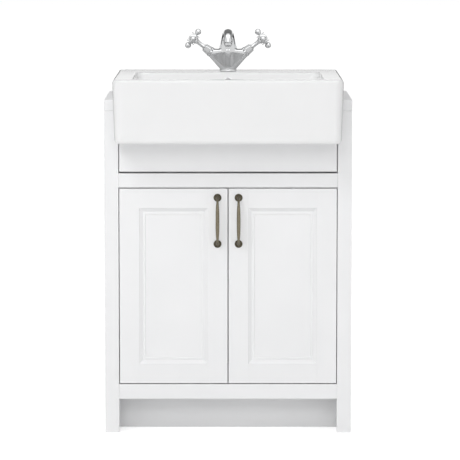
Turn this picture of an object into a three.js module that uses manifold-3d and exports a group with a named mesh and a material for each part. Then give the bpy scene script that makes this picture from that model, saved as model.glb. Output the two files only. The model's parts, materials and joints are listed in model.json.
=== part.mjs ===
// A semi-recessed bathroom vanity unit: a deep white basin set half into a painted two-door
// cabinet, with a two-handle mixer on its deck.
// Lengths are millimetres. +X is right, +Y goes to the wall and +Z is up. The origin is on the
// floor, under the middle of the unit.
import * as THREE from "three";
import { mergeVertices } from "three/addons/utils/BufferGeometryUtils.js";
import Module from "manifold-3d";

const wasm = await Module();
wasm.setup();

// Sizes of the whole unit
const cabinetWidth = 610;
const basinDepth = 460;
const basinMargin = 25;
const rimHeight = 884;
const rimAboveWorktop = 55;
const worktopThickness = 28;

// Running gaps and working values
const fitGap = 0.3;
const overrun = 5;
const mergeTolerance = 0.0005;
const halfShare = 0.5;

// Cabinet boards
const boardThickness = 18;
const frontThickness = 20;
const legWidth = 35;
const backThickness = 8;
const bottomRailLow = 85;
const bottomRailHigh = 122;
const midRailWidth = 35;
const fasciaHeight = 150;
const fasciaGap = 4;
const fasciaSideGap = 2;
const fasciaDip = 69;
const fasciaCutRadius = 40;
const plinthSetback = 80;
const plinthThickness = 18;
const packerDepth = 62;
const shelfHeight = 350;
const shelfFront = 85;
const shelfBackGap = 5;
const shelfSideGap = 1;
const serviceCutWidth = 130;
const serviceCutInset = 35;
const serviceCutHeight = 300;
const serviceCutDrop = 251;

// Worktop cut-outs
const bowlClearance = 4;
const tapCutWidth = 130;
const tapCutBack = 30;

// Shelf pins
const pinRadius = 2.5;
const pinHoleDepth = 10;
const pinReach = 12;
const pinInset = 30;
const pinCollarRadius = 4;
const pinCollarThickness = 1.5;
const pinLevels = [-1, 0, 1];
const pinPitch = 64;
const pinSides = 12;

// Doors
const doorSideGap = 2;
const doorEndGap = 2.5;
const doorThickness = 20;
const doorStileWidth = 51;
const doorRailWidth = 51;
const mouldingWidth = 10;
const mouldingDepth = 8;
const mouldingQuirk = 1.5;
const mouldingSteps = 6;
const panelThickness = 8;
const grooveDepth = 7;

// Door handles
const handleCentres = 114.5;
const handleDrop = 22.5;
const handleEdge = 26;
const handleStandoff = 30;
const handleGripHalf = 4.8;
const handleNeckHalf = 2.4;
const handleRootHalf = 3.2;
const handleSteps = 20;
const handleSides = 10;
const rosetteRadius = 9.8;
const rosetteThickness = 5;
const rosetteRimThickness = 1.6;
const handleCollarRadius = 5.2;

// Concealed hinges
const hingeEdge = 22.5;
const hingeEnd = 85;
const cupRadius = 17.5;
const cupDepth = 12;
const cupWall = 1.5;
const cupPlateHalfWidth = 11;
const cupPlateHalfHeight = 31;
const cupPlateThickness = 1.2;
const cupSides = 20;
const armHeight = 18;
const armThickness = 3;
const cupPinRadius = 1.5;
const cupPinDepth = 2.5;
const plateHeight = 50;
const plateThickness = 2;
const plateFront = 8;
const plateLength = 44;
const armDrop = 13;

// Basin
const apronHeight = 156;
const apronDraft = 5;
const apronGap = 2;
const basinWall = 12;
const basinDeck = 14;
const basinFloor = 16;
const basinRimRadius = 7.5;
const basinEdgeRadius = 13;
const basinFrontCorner = 22;
const basinBackCorner = 10;
const basinCornerSteps = 5;
const basinEdgeSteps = 4;
const bowlSideRim = 48;
const bowlFrontRim = 32;
const bowlBackDeck = 135;
const bowlDepth = 130;
const bowlLean = 26;
const bowlFall = 8;
const bowlRimRadius = 5;
const bowlFloorRadius = 48;
const bowlCorner = 20;
const bowlCornerShare = 0.6;

// Overflow
const overflowDrop = 25;
const overflowHole = 14;
const overflowRing = 25;
const overflowRingThickness = 3;
const overflowSides = 20;
const ductHalf = 4;
const ductWall = 6;
const ductWidth = 34;

// Waste
const wasteHole = 46;
const wasteBossRadius = 38;
const wasteFlangeRadius = 32;
const wasteFlangeThickness = 3;
const wasteTubeRadius = 22;
const wasteTubeWall = 2.5;
const wasteTubeLength = 82;
const wasteSlotWidth = 20;
const wasteSlotHeight = 12;
const wasteGuideRadius = 9;
const wasteGuideHeight = 14;
const wasteGuideDrop = 26;
const wasteWebThickness = 3;
const wasteWebs = 3;
const wasteSides = 20;
const plugRadius = 30;
const plugDome = 6;
const plugEdge = 2.5;
const plugStemRadius = 5;
const plugStemLength = 44;
const wasteSealThickness = 4;
const wasteSealRadius = 31;
const wasteNutRadius = 32;
const wasteNutHeight = 12;
const wasteNutSides = 8;
const wasteFrontGap = 6.5;

// Tap
const tapFromWall = 75;
const tapHole = 35;
const tapBaseRadius = 21.5;
const tapBaseHeight = 3;
const tapBaseSkirt = 2;
const tapSealThickness = 1.5;
const tapSealWall = 3;
const tapArmAngle = 37;
const tapArmRise = 15.5;
const tapArmLength = 54;
const tapArmRadius = 11.5;
const tapArmNeck = 4;
const tapRingRadius = 12.7;
const tapRingLength = 4;
const tapSides = 20;
const tapCoreRadius = 21;
const tapCoreHeight = 56;
const tapCoreDome = 6;
const spoutRootHalf = 22;
const spoutRootHeight = 23;
const spoutReach = 100;
const spoutPeak = 109;
const spoutOutlet = 76;
const spoutSteps = 14;
const spoutSides = 20;
const spoutTipHalf = 10;
const spoutThinHalf = 9;
const spoutWidthShares = [0, 0, 0.42, 0.67, 0.75, 0.83, 0.92, 1, 1];
const spoutDepthShares = [0, 0.15, 0.54, 0.77, 0.92, 1, 1, 0.92, 0.92];
const spoutBore = 7.5;
const spoutBoreDepth = 16;
const aeratorRadius = 9;
const aeratorLength = 5;
const aeratorWall = 2;
const inletRadius = 5;
const inletDepth = 14;
const inletHalfSpacing = 7;
const inletShift = 6;
const studRadius = 4;
const studShift = 10;
const studDepth = 12;
const studLength = 62;
const clampRadius = 27;
const clampThickness = 3;
const clampSlotHalf = 13;
const tapNutRadius = 7.5;
const tapNutHeight = 8;

// Tap valves and handles, measured along the arm
const cartridgeBore = 13.4;
const cartridgeDepth = 14;
const cartridgeFlange = 15.4;
const cartridgeFlangeLength = 6;
const cartridgeNeckRadius = 5.5;
const cartridgeNeckLength = 5;
const coverTipRadius = 10.4;
const coverRootRadius = 12.2;
const coverLength = 16;
const coverBore = 16.4;
const coverEndWall = 2.5;
const spindleRadius = 3.5;
const spindleStart = 46;
const neckRadius = 5.5;
const neckFlareRadius = 8.4;
const hubRadius = 9.8;
const hubCentre = 111;
const hubHalf = 8.5;
const hubBoreDepth = 10;
const spokeCount = 4;
const spokeRadius = 3.2;
const spokeReach = 21.3;
const spokeRingRadius = 11.3;
const spokeRingThickness = 1.6;
const spokeRingReach = 11.5;
const ballRadius = 7.6;
const ballSides = 10;
const ballRings = 6;
const capRadius = 7;
const capRecess = 2;
const capDome = 3;
const turnedSides = 16;
const hexagonSides = 6;

// Planes that the pieces share. The cabinet's front stands clear before the waste.
const halfCabinet = cabinetWidth / 2;
const frontY = -basinDepth / 2;
const wallY = basinDepth / 2;
const bowlFrontY = frontY + bowlFrontRim;
const bowlBackY = wallY - bowlBackDeck;
const wasteY = (bowlFrontY + bowlBackY) / 2;
const carcassFront = wasteY - wasteNutRadius - wasteFrontGap;
const faceY = carcassFront - frontThickness;
const basinWidth = cabinetWidth - 2 * basinMargin;
const worktopHeight = rimHeight - rimAboveWorktop;
const carcassHeight = worktopHeight - worktopThickness;

// Outline and solid helpers

const X = new THREE.Vector3(1, 0, 0);
const Y = new THREE.Vector3(0, 1, 0);
const Z = new THREE.Vector3(0, 0, 1);
const quarterTurn = Math.PI / 2;
const fullTurn = Math.PI * 2;

// A range of evenly spaced shares from 0 to 1.
function shares(steps) {
  return Array.from({ length: steps + 1 }, (unused, index) => index / steps);
}

// Turns a closed geometry into a manifold solid.
function toSolid(geometry) {
  const bare = geometry.clone();
  bare.deleteAttribute("normal");
  bare.deleteAttribute("uv");
  const merged = mergeVertices(bare, mergeTolerance);
  const mesh = new wasm.Mesh({
    numProp: 3,
    vertProperties: merged.attributes.position.array,
    triVerts: new Uint32Array(merged.index.array),
  });
  return new wasm.Manifold(mesh);
}

// Turns a manifold solid back into a geometry.
function toGeometry(solid) {
  const mesh = solid.getMesh();
  const geometry = new THREE.BufferGeometry();
  geometry.setAttribute("position", new THREE.BufferAttribute(mesh.vertProperties, 3));
  geometry.setIndex(new THREE.BufferAttribute(mesh.triVerts, 1));
  const flat = geometry.toNonIndexed();
  flat.computeVertexNormals();
  return flat;
}

// A box between two corners.
function block(x0, x1, y0, y1, z0, z1) {
  const geometry = new THREE.BoxGeometry(x1 - x0, y1 - y0, z1 - z0);
  geometry.translate((x0 + x1) / 2, (y0 + y1) / 2, (z0 + z1) / 2);
  return geometry;
}

function shapeOf(points) {
  return new THREE.Shape(points.map(([u, v]) => new THREE.Vector2(u, v)));
}

function extrude(shape, length) {
  return new THREE.ExtrudeGeometry(shape, { depth: length, bevelEnabled: false, steps: 1 });
}

// An outline in Y and Z, extruded along X.
function prismX(points, x0, x1) {
  const geometry = extrude(shapeOf(points), x1 - x0);
  geometry.applyMatrix4(new THREE.Matrix4().makeBasis(Y, Z, X));
  geometry.translate(x0, 0, 0);
  return geometry;
}

// An outline in X and Z, extruded along Y.
function prismY(points, y0, y1) {
  const geometry = extrude(shapeOf(points), y1 - y0);
  geometry.applyMatrix4(new THREE.Matrix4().makeBasis(X, Z, Y.clone().negate()));
  geometry.translate(0, y1, 0);
  return geometry;
}

// An outline in X and Y, extruded along Z.
function prismZ(points, z0, z1) {
  const geometry = extrude(shapeOf(points), z1 - z0);
  geometry.translate(0, 0, z0);
  return geometry;
}

// A profile of radius and height, turned round the Z axis.
function turned(profile, sides) {
  const points = profile.map(([radius, height]) => new THREE.Vector2(radius, height));
  const geometry = new THREE.LatheGeometry(points, sides);
  geometry.rotateX(quarterTurn);
  return geometry;
}

// A closed tube wall turned round the Z axis.
function turnedRing(inner, outer, z0, z1, sides) {
  return turned([[inner, z0], [outer, z0], [outer, z1], [inner, z1], [inner, z0]], sides);
}

// A plain cylinder standing on the Z axis.
function rod(radius, z0, z1, sides) {
  return turned([[0, z0], [radius, z0], [radius, z1], [0, z1]], sides);
}

// A solid through a row of closed rings that all have the same number of points.
function loft(rings) {
  const count = rings[0].length;
  const positions = rings.flat().flatMap((point) => [point.x, point.y, point.z]);
  const indices = [];
  for (let ring = 0; ring < rings.length - 1; ring += 1) {
    for (let i = 0; i < count; i += 1) {
      const next = (i + 1) % count;
      const a = ring * count + i;
      const b = ring * count + next;
      const c = a + count;
      const d = b + count;
      indices.push(a, b, d, a, d, c);
    }
  }
  const lastRing = (rings.length - 1) * count;
  for (let i = 1; i < count - 1; i += 1) {
    indices.push(0, i + 1, i);
    indices.push(lastRing, lastRing + i, lastRing + i + 1);
  }
  const geometry = new THREE.BufferGeometry();
  geometry.setAttribute("position", new THREE.Float32BufferAttribute(positions, 3));
  geometry.setIndex(indices);
  return geometry;
}

// A level rounded rectangle, with one radius for its front corners and one for its back ones.
function roundedRing(x0, x1, y0, y1, z, frontRadius, backRadius) {
  const corners = [
    [x1 - backRadius, y1 - backRadius, backRadius, 0],
    [x0 + backRadius, y1 - backRadius, backRadius, 1],
    [x0 + frontRadius, y0 + frontRadius, frontRadius, 2],
    [x1 - frontRadius, y0 + frontRadius, frontRadius, 3],
  ];
  return corners.flatMap(([x, y, radius, quarter]) =>
    shares(basinCornerSteps).map((share) => {
      const angle = (quarter + share) * quarterTurn;
      return new THREE.Vector3(x + radius * Math.cos(angle), y + radius * Math.sin(angle), z);
    }),
  );
}

// A round or oval bar along a path in the Y and Z plane. Its half width is along X and its half
// thickness is across the path.
function bar(path, halfWidth, halfThickness, steps, sides) {
  const rings = shares(steps).map((share) => {
    const centre = path.getPoint(share);
    const tangent = path.getTangent(share);
    const across = new THREE.Vector3().crossVectors(tangent, X);
    return shares(sides).slice(1).map((side) => {
      const angle = side * fullTurn;
      return centre
        .clone()
        .addScaledVector(X, halfWidth(share) * Math.cos(angle))
        .addScaledVector(across, halfThickness(share) * Math.sin(angle));
    });
  });
  return loft(rings);
}

// A value read from a short list of values spread evenly over the shares 0 to 1.
function between(values, share) {
  const place = share * (values.length - 1);
  const index = Math.min(Math.floor(place), values.length - 2);
  return THREE.MathUtils.lerp(values[index], values[index + 1], place - index);
}

function join(first, ...rest) {
  return rest.reduce((sum, geometry) => sum.add(toSolid(geometry)), toSolid(first));
}

function cut(base, ...tools) {
  return tools.reduce((left, geometry) => left.subtract(toSolid(geometry)), base);
}

// Materials

function finish(color, roughness, metalness) {
  return new THREE.MeshStandardMaterial({ color, roughness, metalness });
}

const paint = () => finish(0xeeeeee, 0.5, 0);
const ceramic = () => finish(0xf4f4f4, 0.08, 0);
const chrome = () => finish(0xd8dadd, 0.08, 1);
const antiqueBrass = () => finish(0x7d7058, 0.42, 1);
const steel = () => finish(0xb9bcc0, 0.35, 1);
const brass = () => finish(0xb08d4f, 0.35, 1);
const rubber = () => finish(0x222222, 0.9, 0);
const plastic = () => finish(0xe8e8e4, 0.5, 0);
const porcelain = () => finish(0xf6f6f2, 0.2, 0);

const unit = new THREE.Group();

function place(parent, name, geometry, material) {
  const mesh = new THREE.Mesh(geometry, material);
  mesh.name = name;
  parent.add(mesh);
  return mesh;
}

const sides = [
  { name: "left", sign: -1 },
  { name: "right", sign: 1 },
];

// Mirrors an outline or a span in X onto its side of the unit.
function span(sign, inner, outer) {
  return sign < 0 ? [-outer, -inner] : [inner, outer];
}

// Cabinet

const legInner = halfCabinet - legWidth;
const panelInner = halfCabinet - boardThickness;
const carcassBack = wallY - backThickness;
const fasciaLow = carcassHeight - fasciaHeight;
const midRailHigh = fasciaLow - fasciaGap;
const midRailLow = midRailHigh - midRailWidth;
const shelfFrontY = faceY + shelfFront;
const shelfBackY = carcassBack - shelfBackGap;

// Heights of the shelf pins and their spare holes
const pinHeights = pinLevels.map((level) => shelfHeight - pinRadius + level * pinPitch);
const pinRows = [shelfFrontY + pinInset, shelfBackY - pinInset];

// A cylinder lying along X between two planes.
function crossRod(radius, x0, x1, y, z) {
  const geometry = rod(radius, x0, x1, pinSides);
  geometry.applyMatrix4(new THREE.Matrix4().makeBasis(Y, Z, X));
  geometry.translate(0, y, z);
  return geometry;
}

for (const { name, sign } of sides) {
  const [panel0, panel1] = span(sign, panelInner, halfCabinet);
  const [hole0, hole1] = span(sign, panelInner - overrun, panelInner + pinHoleDepth);
  const holes = pinRows.flatMap((y) =>
    pinHeights.map((z) => crossRod(pinRadius + fitGap, hole0, hole1, y, z)),
  );
  const board = join(block(panel0, panel1, carcassFront, wallY, 0, carcassHeight));
  place(unit, `${name}_side_panel`, toGeometry(cut(board, ...holes)), paint());

  const [leg0, leg1] = span(sign, legInner, halfCabinet);
  place(unit, `${name}_front_leg`, block(leg0, leg1, faceY, carcassFront, 0, carcassHeight), paint());

  const [pack0, pack1] = span(sign, legInner, panelInner);
  const packerBack = carcassFront + packerDepth;
  const packer = block(pack0, pack1, carcassFront, packerBack, bottomRailHigh, midRailHigh);
  place(unit, `${name}_hinge_packer`, packer, paint());

  const [pin0, pin1] = span(sign, panelInner - pinReach, panelInner + pinHoleDepth - fitGap);
  const [collar0, collar1] = span(sign, panelInner - pinCollarThickness, panelInner);
  pinRows.forEach((y, row) => {
    const z = shelfHeight - pinRadius;
    const shank = crossRod(pinRadius, pin0, pin1, y, z);
    const collar = crossRod(pinCollarRadius, collar0, collar1, y, z);
    const aboveShelf = block(collar0, collar1, y - pinCollarRadius, y + pinCollarRadius, shelfHeight,
      shelfHeight + pinCollarRadius);
    const pin = cut(join(shank, collar), aboveShelf);
    place(unit, `${name}_shelf_pin_${row === 0 ? "front" : "back"}`, toGeometry(pin), steel());
  });
}

place(unit, "mid_rail",
  block(-legInner, legInner, faceY, carcassFront, midRailLow, midRailHigh), paint());
place(unit, "bottom_rail",
  block(-legInner, legInner, faceY, carcassFront, bottomRailLow, bottomRailHigh), paint());

const floorLow = bottomRailHigh - boardThickness;
place(unit, "cabinet_floor",
  block(-panelInner, panelInner, carcassFront, carcassBack, floorLow, bottomRailHigh), paint());

const plinthFront = faceY + plinthSetback;
place(unit, "plinth",
  block(-panelInner, panelInner, plinthFront, plinthFront + plinthThickness, 0, floorLow), paint());

// The shelf rests on its four pins.
const shelfHalf = panelInner - pinCollarThickness - shelfSideGap;
place(unit, "shelf",
  block(-shelfHalf, shelfHalf, shelfFrontY, shelfBackY, shelfHeight, shelfHeight + boardThickness),
  paint());

// The back panel has a cut-out for the pipes on each side of its middle.
const backBoard = join(block(-panelInner, panelInner, carcassBack, wallY, floorLow, carcassHeight));
const serviceCutHigh = carcassHeight - serviceCutDrop;
const serviceCuts = sides.map(({ sign }) => {
  const [cut0, cut1] = span(sign, serviceCutInset, serviceCutInset + serviceCutWidth);
  return block(cut0, cut1, carcassBack - overrun, wallY + overrun,
    serviceCutHigh - serviceCutHeight, serviceCutHigh);
});
place(unit, "back_panel", toGeometry(cut(backBoard, ...serviceCuts)), paint());

// Basin

const halfBasin = basinWidth / 2;
const apronBottom = rimHeight - apronHeight;
const bowlHalf = halfBasin - bowlSideRim;
const bowlFloor = rimHeight - bowlDepth;
const tapY = wallY - tapFromWall;

// How far the apron leans in at a height below its rounded rim.
function apronInset(z) {
  const rimStart = rimHeight - basinRimRadius;
  return (apronDraft * Math.max(rimStart - z, 0)) / (rimStart - apronBottom);
}

// A ring of the basin's outside, drawn in by an inset. The back stays on the wall plane.
function basinRing(inset, z, backInset) {
  const front = Math.max(basinFrontCorner - inset, basinWall);
  return roundedRing(-halfBasin + inset, halfBasin - inset, frontY + inset, wallY - backInset, z,
    front, basinBackCorner);
}

// The outside has a rounded lower edge, a slight draft and a rounded rim.
const lowerEdge = shares(basinEdgeSteps).map((share) => {
  const angle = share * quarterTurn;
  const z = apronBottom + basinEdgeRadius * (1 - Math.cos(angle));
  return basinRing(apronInset(z) + basinEdgeRadius * (1 - Math.sin(angle)), z, 0);
});
const upperEdge = shares(basinEdgeSteps).map((share) => {
  const angle = share * quarterTurn;
  const z = rimHeight - basinRimRadius * (1 - Math.sin(angle));
  const draw = basinRimRadius * (1 - Math.cos(angle));
  return basinRing(apronInset(z) + draw, z, draw);
});
const basinOutside = loft([...lowerEdge, ...upperEdge]);

// The hollow behind the apron and under the deck
const hollowHigh = rimHeight - basinDeck;
const hollowLow = apronBottom + basinFloor;
const basinHollow = loft([
  basinRing(apronInset(hollowLow) + basinWall, hollowLow, basinWall),
  basinRing(apronInset(hollowHigh) + basinWall, hollowHigh, basinWall),
]);

// Behind the cabinet's face the outside stops at the worktop.
const recess = block(-halfBasin - overrun, halfBasin + overrun, faceY - apronGap, wallY + overrun,
  apronBottom - overrun, worktopHeight);

// A ring of the bowl, drawn in by an inset from its top outline.
function bowlRing(inset, z) {
  const radius = bowlCorner + Math.max(inset, 0) * bowlCornerShare;
  return roundedRing(-bowlHalf + inset, bowlHalf - inset, bowlFrontY + inset, bowlBackY - inset, z,
    radius, radius);
}

function wasteRing(radius, z) {
  return roundedRing(-radius, radius, wasteY - radius, wasteY + radius, z, radius, radius);
}

const filletTop = bowlFloor + bowlFall + bowlFloorRadius;

// The recess for the waste's flange clears it at the flats between its corners.
const facetAngle = quarterTurn / basinCornerSteps;
const recessRadius = (wasteFlangeRadius + fitGap) / Math.cos(facetAngle / 2);

// The bowl's wall leans in by this much at a height above the floor's curve.
function wallInset(z) {
  return (bowlLean * (rimHeight - z)) / (rimHeight - filletTop);
}

// The floor's curve, with an allowance that is zero inside and the wall's thickness outside.
function floorCurve(allowance) {
  return shares(basinEdgeSteps).map((share) => {
    const angle = share * quarterTurn;
    const radius = bowlFloorRadius + allowance;
    const inset = bowlLean + bowlFloorRadius - radius * Math.cos(angle);
    return bowlRing(inset, filletTop - radius * Math.sin(angle));
  });
}

const bowlEdge = shares(basinEdgeSteps).map((share) => {
  const angle = share * quarterTurn;
  const z = rimHeight - bowlRimRadius * (1 - Math.cos(angle));
  return bowlRing(wallInset(z) - bowlRimRadius * (1 - Math.sin(angle)), z);
});
const bowlInside = loft([
  wasteRing(recessRadius, bowlFloor - wasteFlangeThickness),
  wasteRing(recessRadius, bowlFloor),
  ...floorCurve(0).reverse(),
  ...bowlEdge.reverse(),
  bowlRing(wallInset(rimHeight) - bowlRimRadius, rimHeight + overrun),
]);

const ductReach = basinWall + ductHalf;
const bossBottom = bowlFloor + bowlFall - ductReach - ductHalf - ductWall;
const bowlOutside = loft([
  wasteRing(wasteBossRadius, bossBottom),
  ...floorCurve(basinWall).reverse(),
  bowlRing(wallInset(hollowHigh) - basinWall, hollowHigh + basinDeck * halfShare),
]);

// The overflow duct runs down behind the bowl and under its floor to the waste.
const ductLine = [
  [bowlBackY + ductReach, hollowHigh - ductWall - ductHalf],
  [bowlBackY - bowlLean + ductReach, filletTop],
  ...shares(basinEdgeSteps).slice(1).map((share) => {
    const angle = share * quarterTurn;
    const radius = bowlFloorRadius + ductReach;
    const inset = bowlLean + bowlFloorRadius - radius * Math.cos(angle);
    return [bowlBackY - inset, filletTop - radius * Math.sin(angle)];
  }),
  [wasteY, filletTop - bowlFloorRadius - ductReach],
];

// A strip of even thickness along a line of points.
function strip(line, half, startExtra) {
  const points = line.map(([u, v]) => new THREE.Vector2(u, v));
  const start = points[0].clone().sub(points[1]).setLength(startExtra);
  points[0].add(start);
  const normals = points.map((point, index) => {
    const before = points[Math.max(index - 1, 0)];
    const after = points[Math.min(index + 1, points.length - 1)];
    const along = after.clone().sub(before).normalize();
    return new THREE.Vector2(-along.y, along.x);
  });
  const near = points.map((point, i) => point.clone().addScaledVector(normals[i], half));
  const far = points.map((point, i) => point.clone().addScaledVector(normals[i], -half));
  return [...near, ...far.reverse()].map((point) => [point.x, point.y]);
}

const ductHalfWidth = ductWidth / 2;
const ductCase = prismX(strip(ductLine, ductHalf + ductWall, ductWall),
  -ductHalfWidth - ductWall, ductHalfWidth + ductWall);
const ductBore = prismX(strip(ductLine, ductHalf, 0), -ductHalfWidth, ductHalfWidth);

// The overflow hole is square to the leaning wall.
const wallTilt = Math.atan(bowlLean / (rimHeight - filletTop));
const overflowZ = rimHeight - overflowDrop;
const overflowY = bowlBackY - wallInset(overflowZ);

function ontoWall(geometry) {
  geometry.rotateX(quarterTurn - wallTilt);
  geometry.translate(0, overflowY, overflowZ);
  return geometry;
}

const overflowBore = ontoWall(rod(overflowHole / 2, -basinWall - ductHalf, overrun, overflowSides));
const wasteBore = rod(wasteHole / 2, bossBottom - overrun, bowlFloor, wasteSides);
wasteBore.translate(0, wasteY, 0);
const tapBore = rod(tapHole / 2, hollowHigh - overrun, rimHeight + overrun, tapSides);
tapBore.translate(0, tapY, 0);

const shell = cut(toSolid(basinOutside), basinHollow, recess);
const basin = cut(
  shell.add(toSolid(bowlOutside)).add(toSolid(ductCase)),
  bowlInside, ductBore, overflowBore, wasteBore, tapBore,
);
place(unit, "basin", toGeometry(basin), ceramic());

// The overflow ring lies on the wall, with a sleeve in the hole.
const sleeveOuter = overflowHole / 2 - fitGap;
const sleeveInner = sleeveOuter - wasteTubeWall * halfShare;
const ringOuter = overflowRing / 2;
const ringTop = fitGap + overflowRingThickness;
const overflowProfile = [
  [sleeveInner, -basinWall * halfShare],
  [sleeveOuter, -basinWall * halfShare],
  [sleeveOuter, fitGap],
  [ringOuter, fitGap],
  [ringOuter - overflowRingThickness * halfShare, ringTop],
  [sleeveOuter, ringTop],
  [sleeveInner, fitGap],
  [sleeveInner, -basinWall * halfShare],
];
place(unit, "overflow_ring", ontoWall(turned(overflowProfile, overflowSides)), chrome());

// Worktop

const cutHalf = bowlHalf + basinWall + bowlClearance;
const cutBackY = bowlBackY + basinWall + 2 * (ductHalf + ductWall) + bowlClearance;
const worktopBoard = join(
  block(-halfCabinet, halfCabinet, faceY, wallY, carcassHeight, worktopHeight),
);
const bowlCut = block(-cutHalf, cutHalf, faceY - overrun, cutBackY, carcassHeight - overrun,
  worktopHeight + overrun);
const tapCut = block(-tapCutWidth / 2, tapCutWidth / 2, cutBackY - overrun, wallY - tapCutBack,
  carcassHeight - overrun, worktopHeight + overrun);
place(unit, "worktop", toGeometry(cut(worktopBoard, bowlCut, tapCut)), paint());

// Fascia below the basin, with a U cut that the bowl passes through

const fasciaHalf = legInner - fasciaSideGap;
const fasciaCutLow = carcassHeight - fasciaDip;
const fasciaBoard = [
  [-fasciaHalf, fasciaLow],
  [fasciaHalf, fasciaLow],
  [fasciaHalf, carcassHeight],
  [cutHalf, carcassHeight],
  ...shares(basinEdgeSteps).map((share) => {
    const angle = share * quarterTurn;
    return [
      cutHalf - fasciaCutRadius * (1 - Math.cos(angle)),
      fasciaCutLow + fasciaCutRadius * (1 - Math.sin(angle)),
    ];
  }),
  ...shares(basinEdgeSteps).map((share) => {
    const angle = (1 - share) * quarterTurn;
    return [
      -cutHalf + fasciaCutRadius * (1 - Math.cos(angle)),
      fasciaCutLow + fasciaCutRadius * (1 - Math.sin(angle)),
    ];
  }),
  [-cutHalf, carcassHeight],
  [-fasciaHalf, carcassHeight],
];
place(unit, "fascia_panel", prismY(fasciaBoard, faceY, carcassFront), paint());

// Doors

const doorOuter = legInner - doorSideGap;
const doorInner = doorEndGap / 2;
const doorLow = bottomRailHigh + doorEndGap;
const doorHigh = midRailLow - doorEndGap;
const doorBack = faceY + doorThickness;
const mouldingBack = mouldingDepth + panelThickness;

// Section of a door member's inner edge: u runs from its flat towards the panel, v goes back from
// the face. The lip is a quirk and a quarter hollow, with the panel's groove behind it.
const lip = shares(mouldingSteps).map((share) => {
  const angle = share * quarterTurn;
  const hollow = mouldingDepth - 2 * mouldingQuirk;
  const run = mouldingWidth - mouldingQuirk;
  return [mouldingQuirk + run * Math.sin(angle), mouldingQuirk + hollow * (1 - Math.cos(angle))];
});
const grooveBottom = mouldingWidth - grooveDepth;
const edgeSection = [
  [0, 0],
  [mouldingQuirk, 0],
  ...lip,
  [mouldingWidth, mouldingDepth],
  [grooveBottom, mouldingDepth],
  [grooveBottom, mouldingBack],
  [mouldingWidth, mouldingBack],
  [mouldingWidth, doorThickness],
  [0, doorThickness],
];

// A moulded edge of the given length along local X, mitred at both ends. Local Y goes towards the
// panel and local Z goes back from the face.
function mouldedEdge(length) {
  const geometry = extrude(shapeOf(edgeSection), length);
  geometry.applyMatrix4(new THREE.Matrix4().makeBasis(Y, Z, X));
  const position = geometry.attributes.position;
  for (let i = 0; i < position.count; i += 1) {
    const inward = position.getY(i);
    const x = position.getX(i);
    position.setX(i, x < length / 2 ? x + inward : x - inward);
  }
  return geometry;
}

// Puts a moulded edge into the door's plane: its start, its run and its way to the panel.
function setEdge(geometry, x, z, run, inward) {
  geometry.applyMatrix4(new THREE.Matrix4().makeBasis(run, inward, Y));
  geometry.translate(x, faceY, z);
  return geometry;
}

const openLow = doorLow + doorRailWidth;
const openHigh = doorHigh - doorRailWidth;
const openInner = doorInner + doorStileWidth;
const openOuter = doorOuter - doorStileWidth;
const up = Z;
const down = Z.clone().negate();
const leftward = X.clone().negate();

// A stile is a full-height board with a moulded edge between the rails.
function stile(x0, x1, edgeX, inward) {
  const upward = inward.x > 0;
  const edge = mouldedEdge(openHigh - openLow);
  const startZ = upward ? openLow : openHigh;
  setEdge(edge, edgeX, startZ, upward ? up : down, inward);
  return join(block(x0, x1, faceY, doorBack, doorLow, doorHigh), edge);
}

// A rail lies between the stiles, with its moulded edge towards the panel.
function doorRail(x0, x1, z0, z1, edgeZ, inward) {
  const rightward = inward.z < 0;
  const edge = mouldedEdge(x1 - x0);
  setEdge(edge, rightward ? x0 : x1, edgeZ, rightward ? X : leftward, inward);
  return join(block(x0, x1, faceY, doorBack, z0, z1), edge);
}

// A cup's blind hole in the hinge stile.
function cupHole(x, z) {
  const hole = rod(cupRadius + fitGap, -overrun, cupDepth + fitGap, cupSides);
  hole.rotateX(quarterTurn);
  hole.translate(x, doorBack, z);
  return hole;
}

const hingeHeights = [
  { level: "lower", z: doorLow + hingeEnd },
  { level: "upper", z: doorHigh - hingeEnd },
];
const cupX = doorOuter - hingeEdge;

for (const { name, sign } of sides) {
  const inwardLock = sign < 0 ? leftward : X;
  const inwardHinge = sign < 0 ? X : leftward;
  const [hinge0, hinge1] = span(sign, openOuter, doorOuter);
  const [lock0, lock1] = span(sign, doorInner, openInner);
  const [rail0, rail1] = span(sign, openInner, openOuter);
  const holes = hingeHeights.map(({ z }) => cupHole(sign * cupX, z));
  const hingeStile = cut(stile(hinge0, hinge1, sign * openOuter, inwardHinge), ...holes);
  place(unit, `${name}_door_hinge_stile`, toGeometry(hingeStile), paint());
  const lockStile = stile(lock0, lock1, sign * openInner, inwardLock);
  place(unit, `${name}_door_lock_stile`, toGeometry(lockStile), paint());
  const topRail = doorRail(rail0, rail1, openHigh, doorHigh, openHigh, down);
  place(unit, `${name}_door_top_rail`, toGeometry(topRail), paint());
  const bottomRail = doorRail(rail0, rail1, doorLow, openLow, openLow, up);
  place(unit, `${name}_door_bottom_rail`, toGeometry(bottomRail), paint());
  const tongue = grooveBottom;
  const panel = block(rail0 + tongue, rail1 - tongue, faceY + mouldingDepth, faceY + mouldingBack,
    openLow + tongue, openHigh - tongue);
  place(unit, `${name}_door_panel`, panel, paint());
}

// Door handles

const handleMiddle = doorHigh - handleDrop - handleCentres / 2;
const halfCentres = handleCentres / 2;

function handlePath() {
  const out = -handleStandoff;
  const start = new THREE.Vector3(0, 0, halfCentres);
  const knee = new THREE.Vector3(0, out, halfCentres);
  const middle = new THREE.Vector3(0, out, 0);
  const lowerKnee = new THREE.Vector3(0, out, -halfCentres);
  const end = new THREE.Vector3(0, 0, -halfCentres);
  const path = new THREE.CurvePath();
  path.add(new THREE.QuadraticBezierCurve3(start, knee, middle));
  path.add(new THREE.QuadraticBezierCurve3(middle, lowerKnee, end));
  return path;
}

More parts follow.
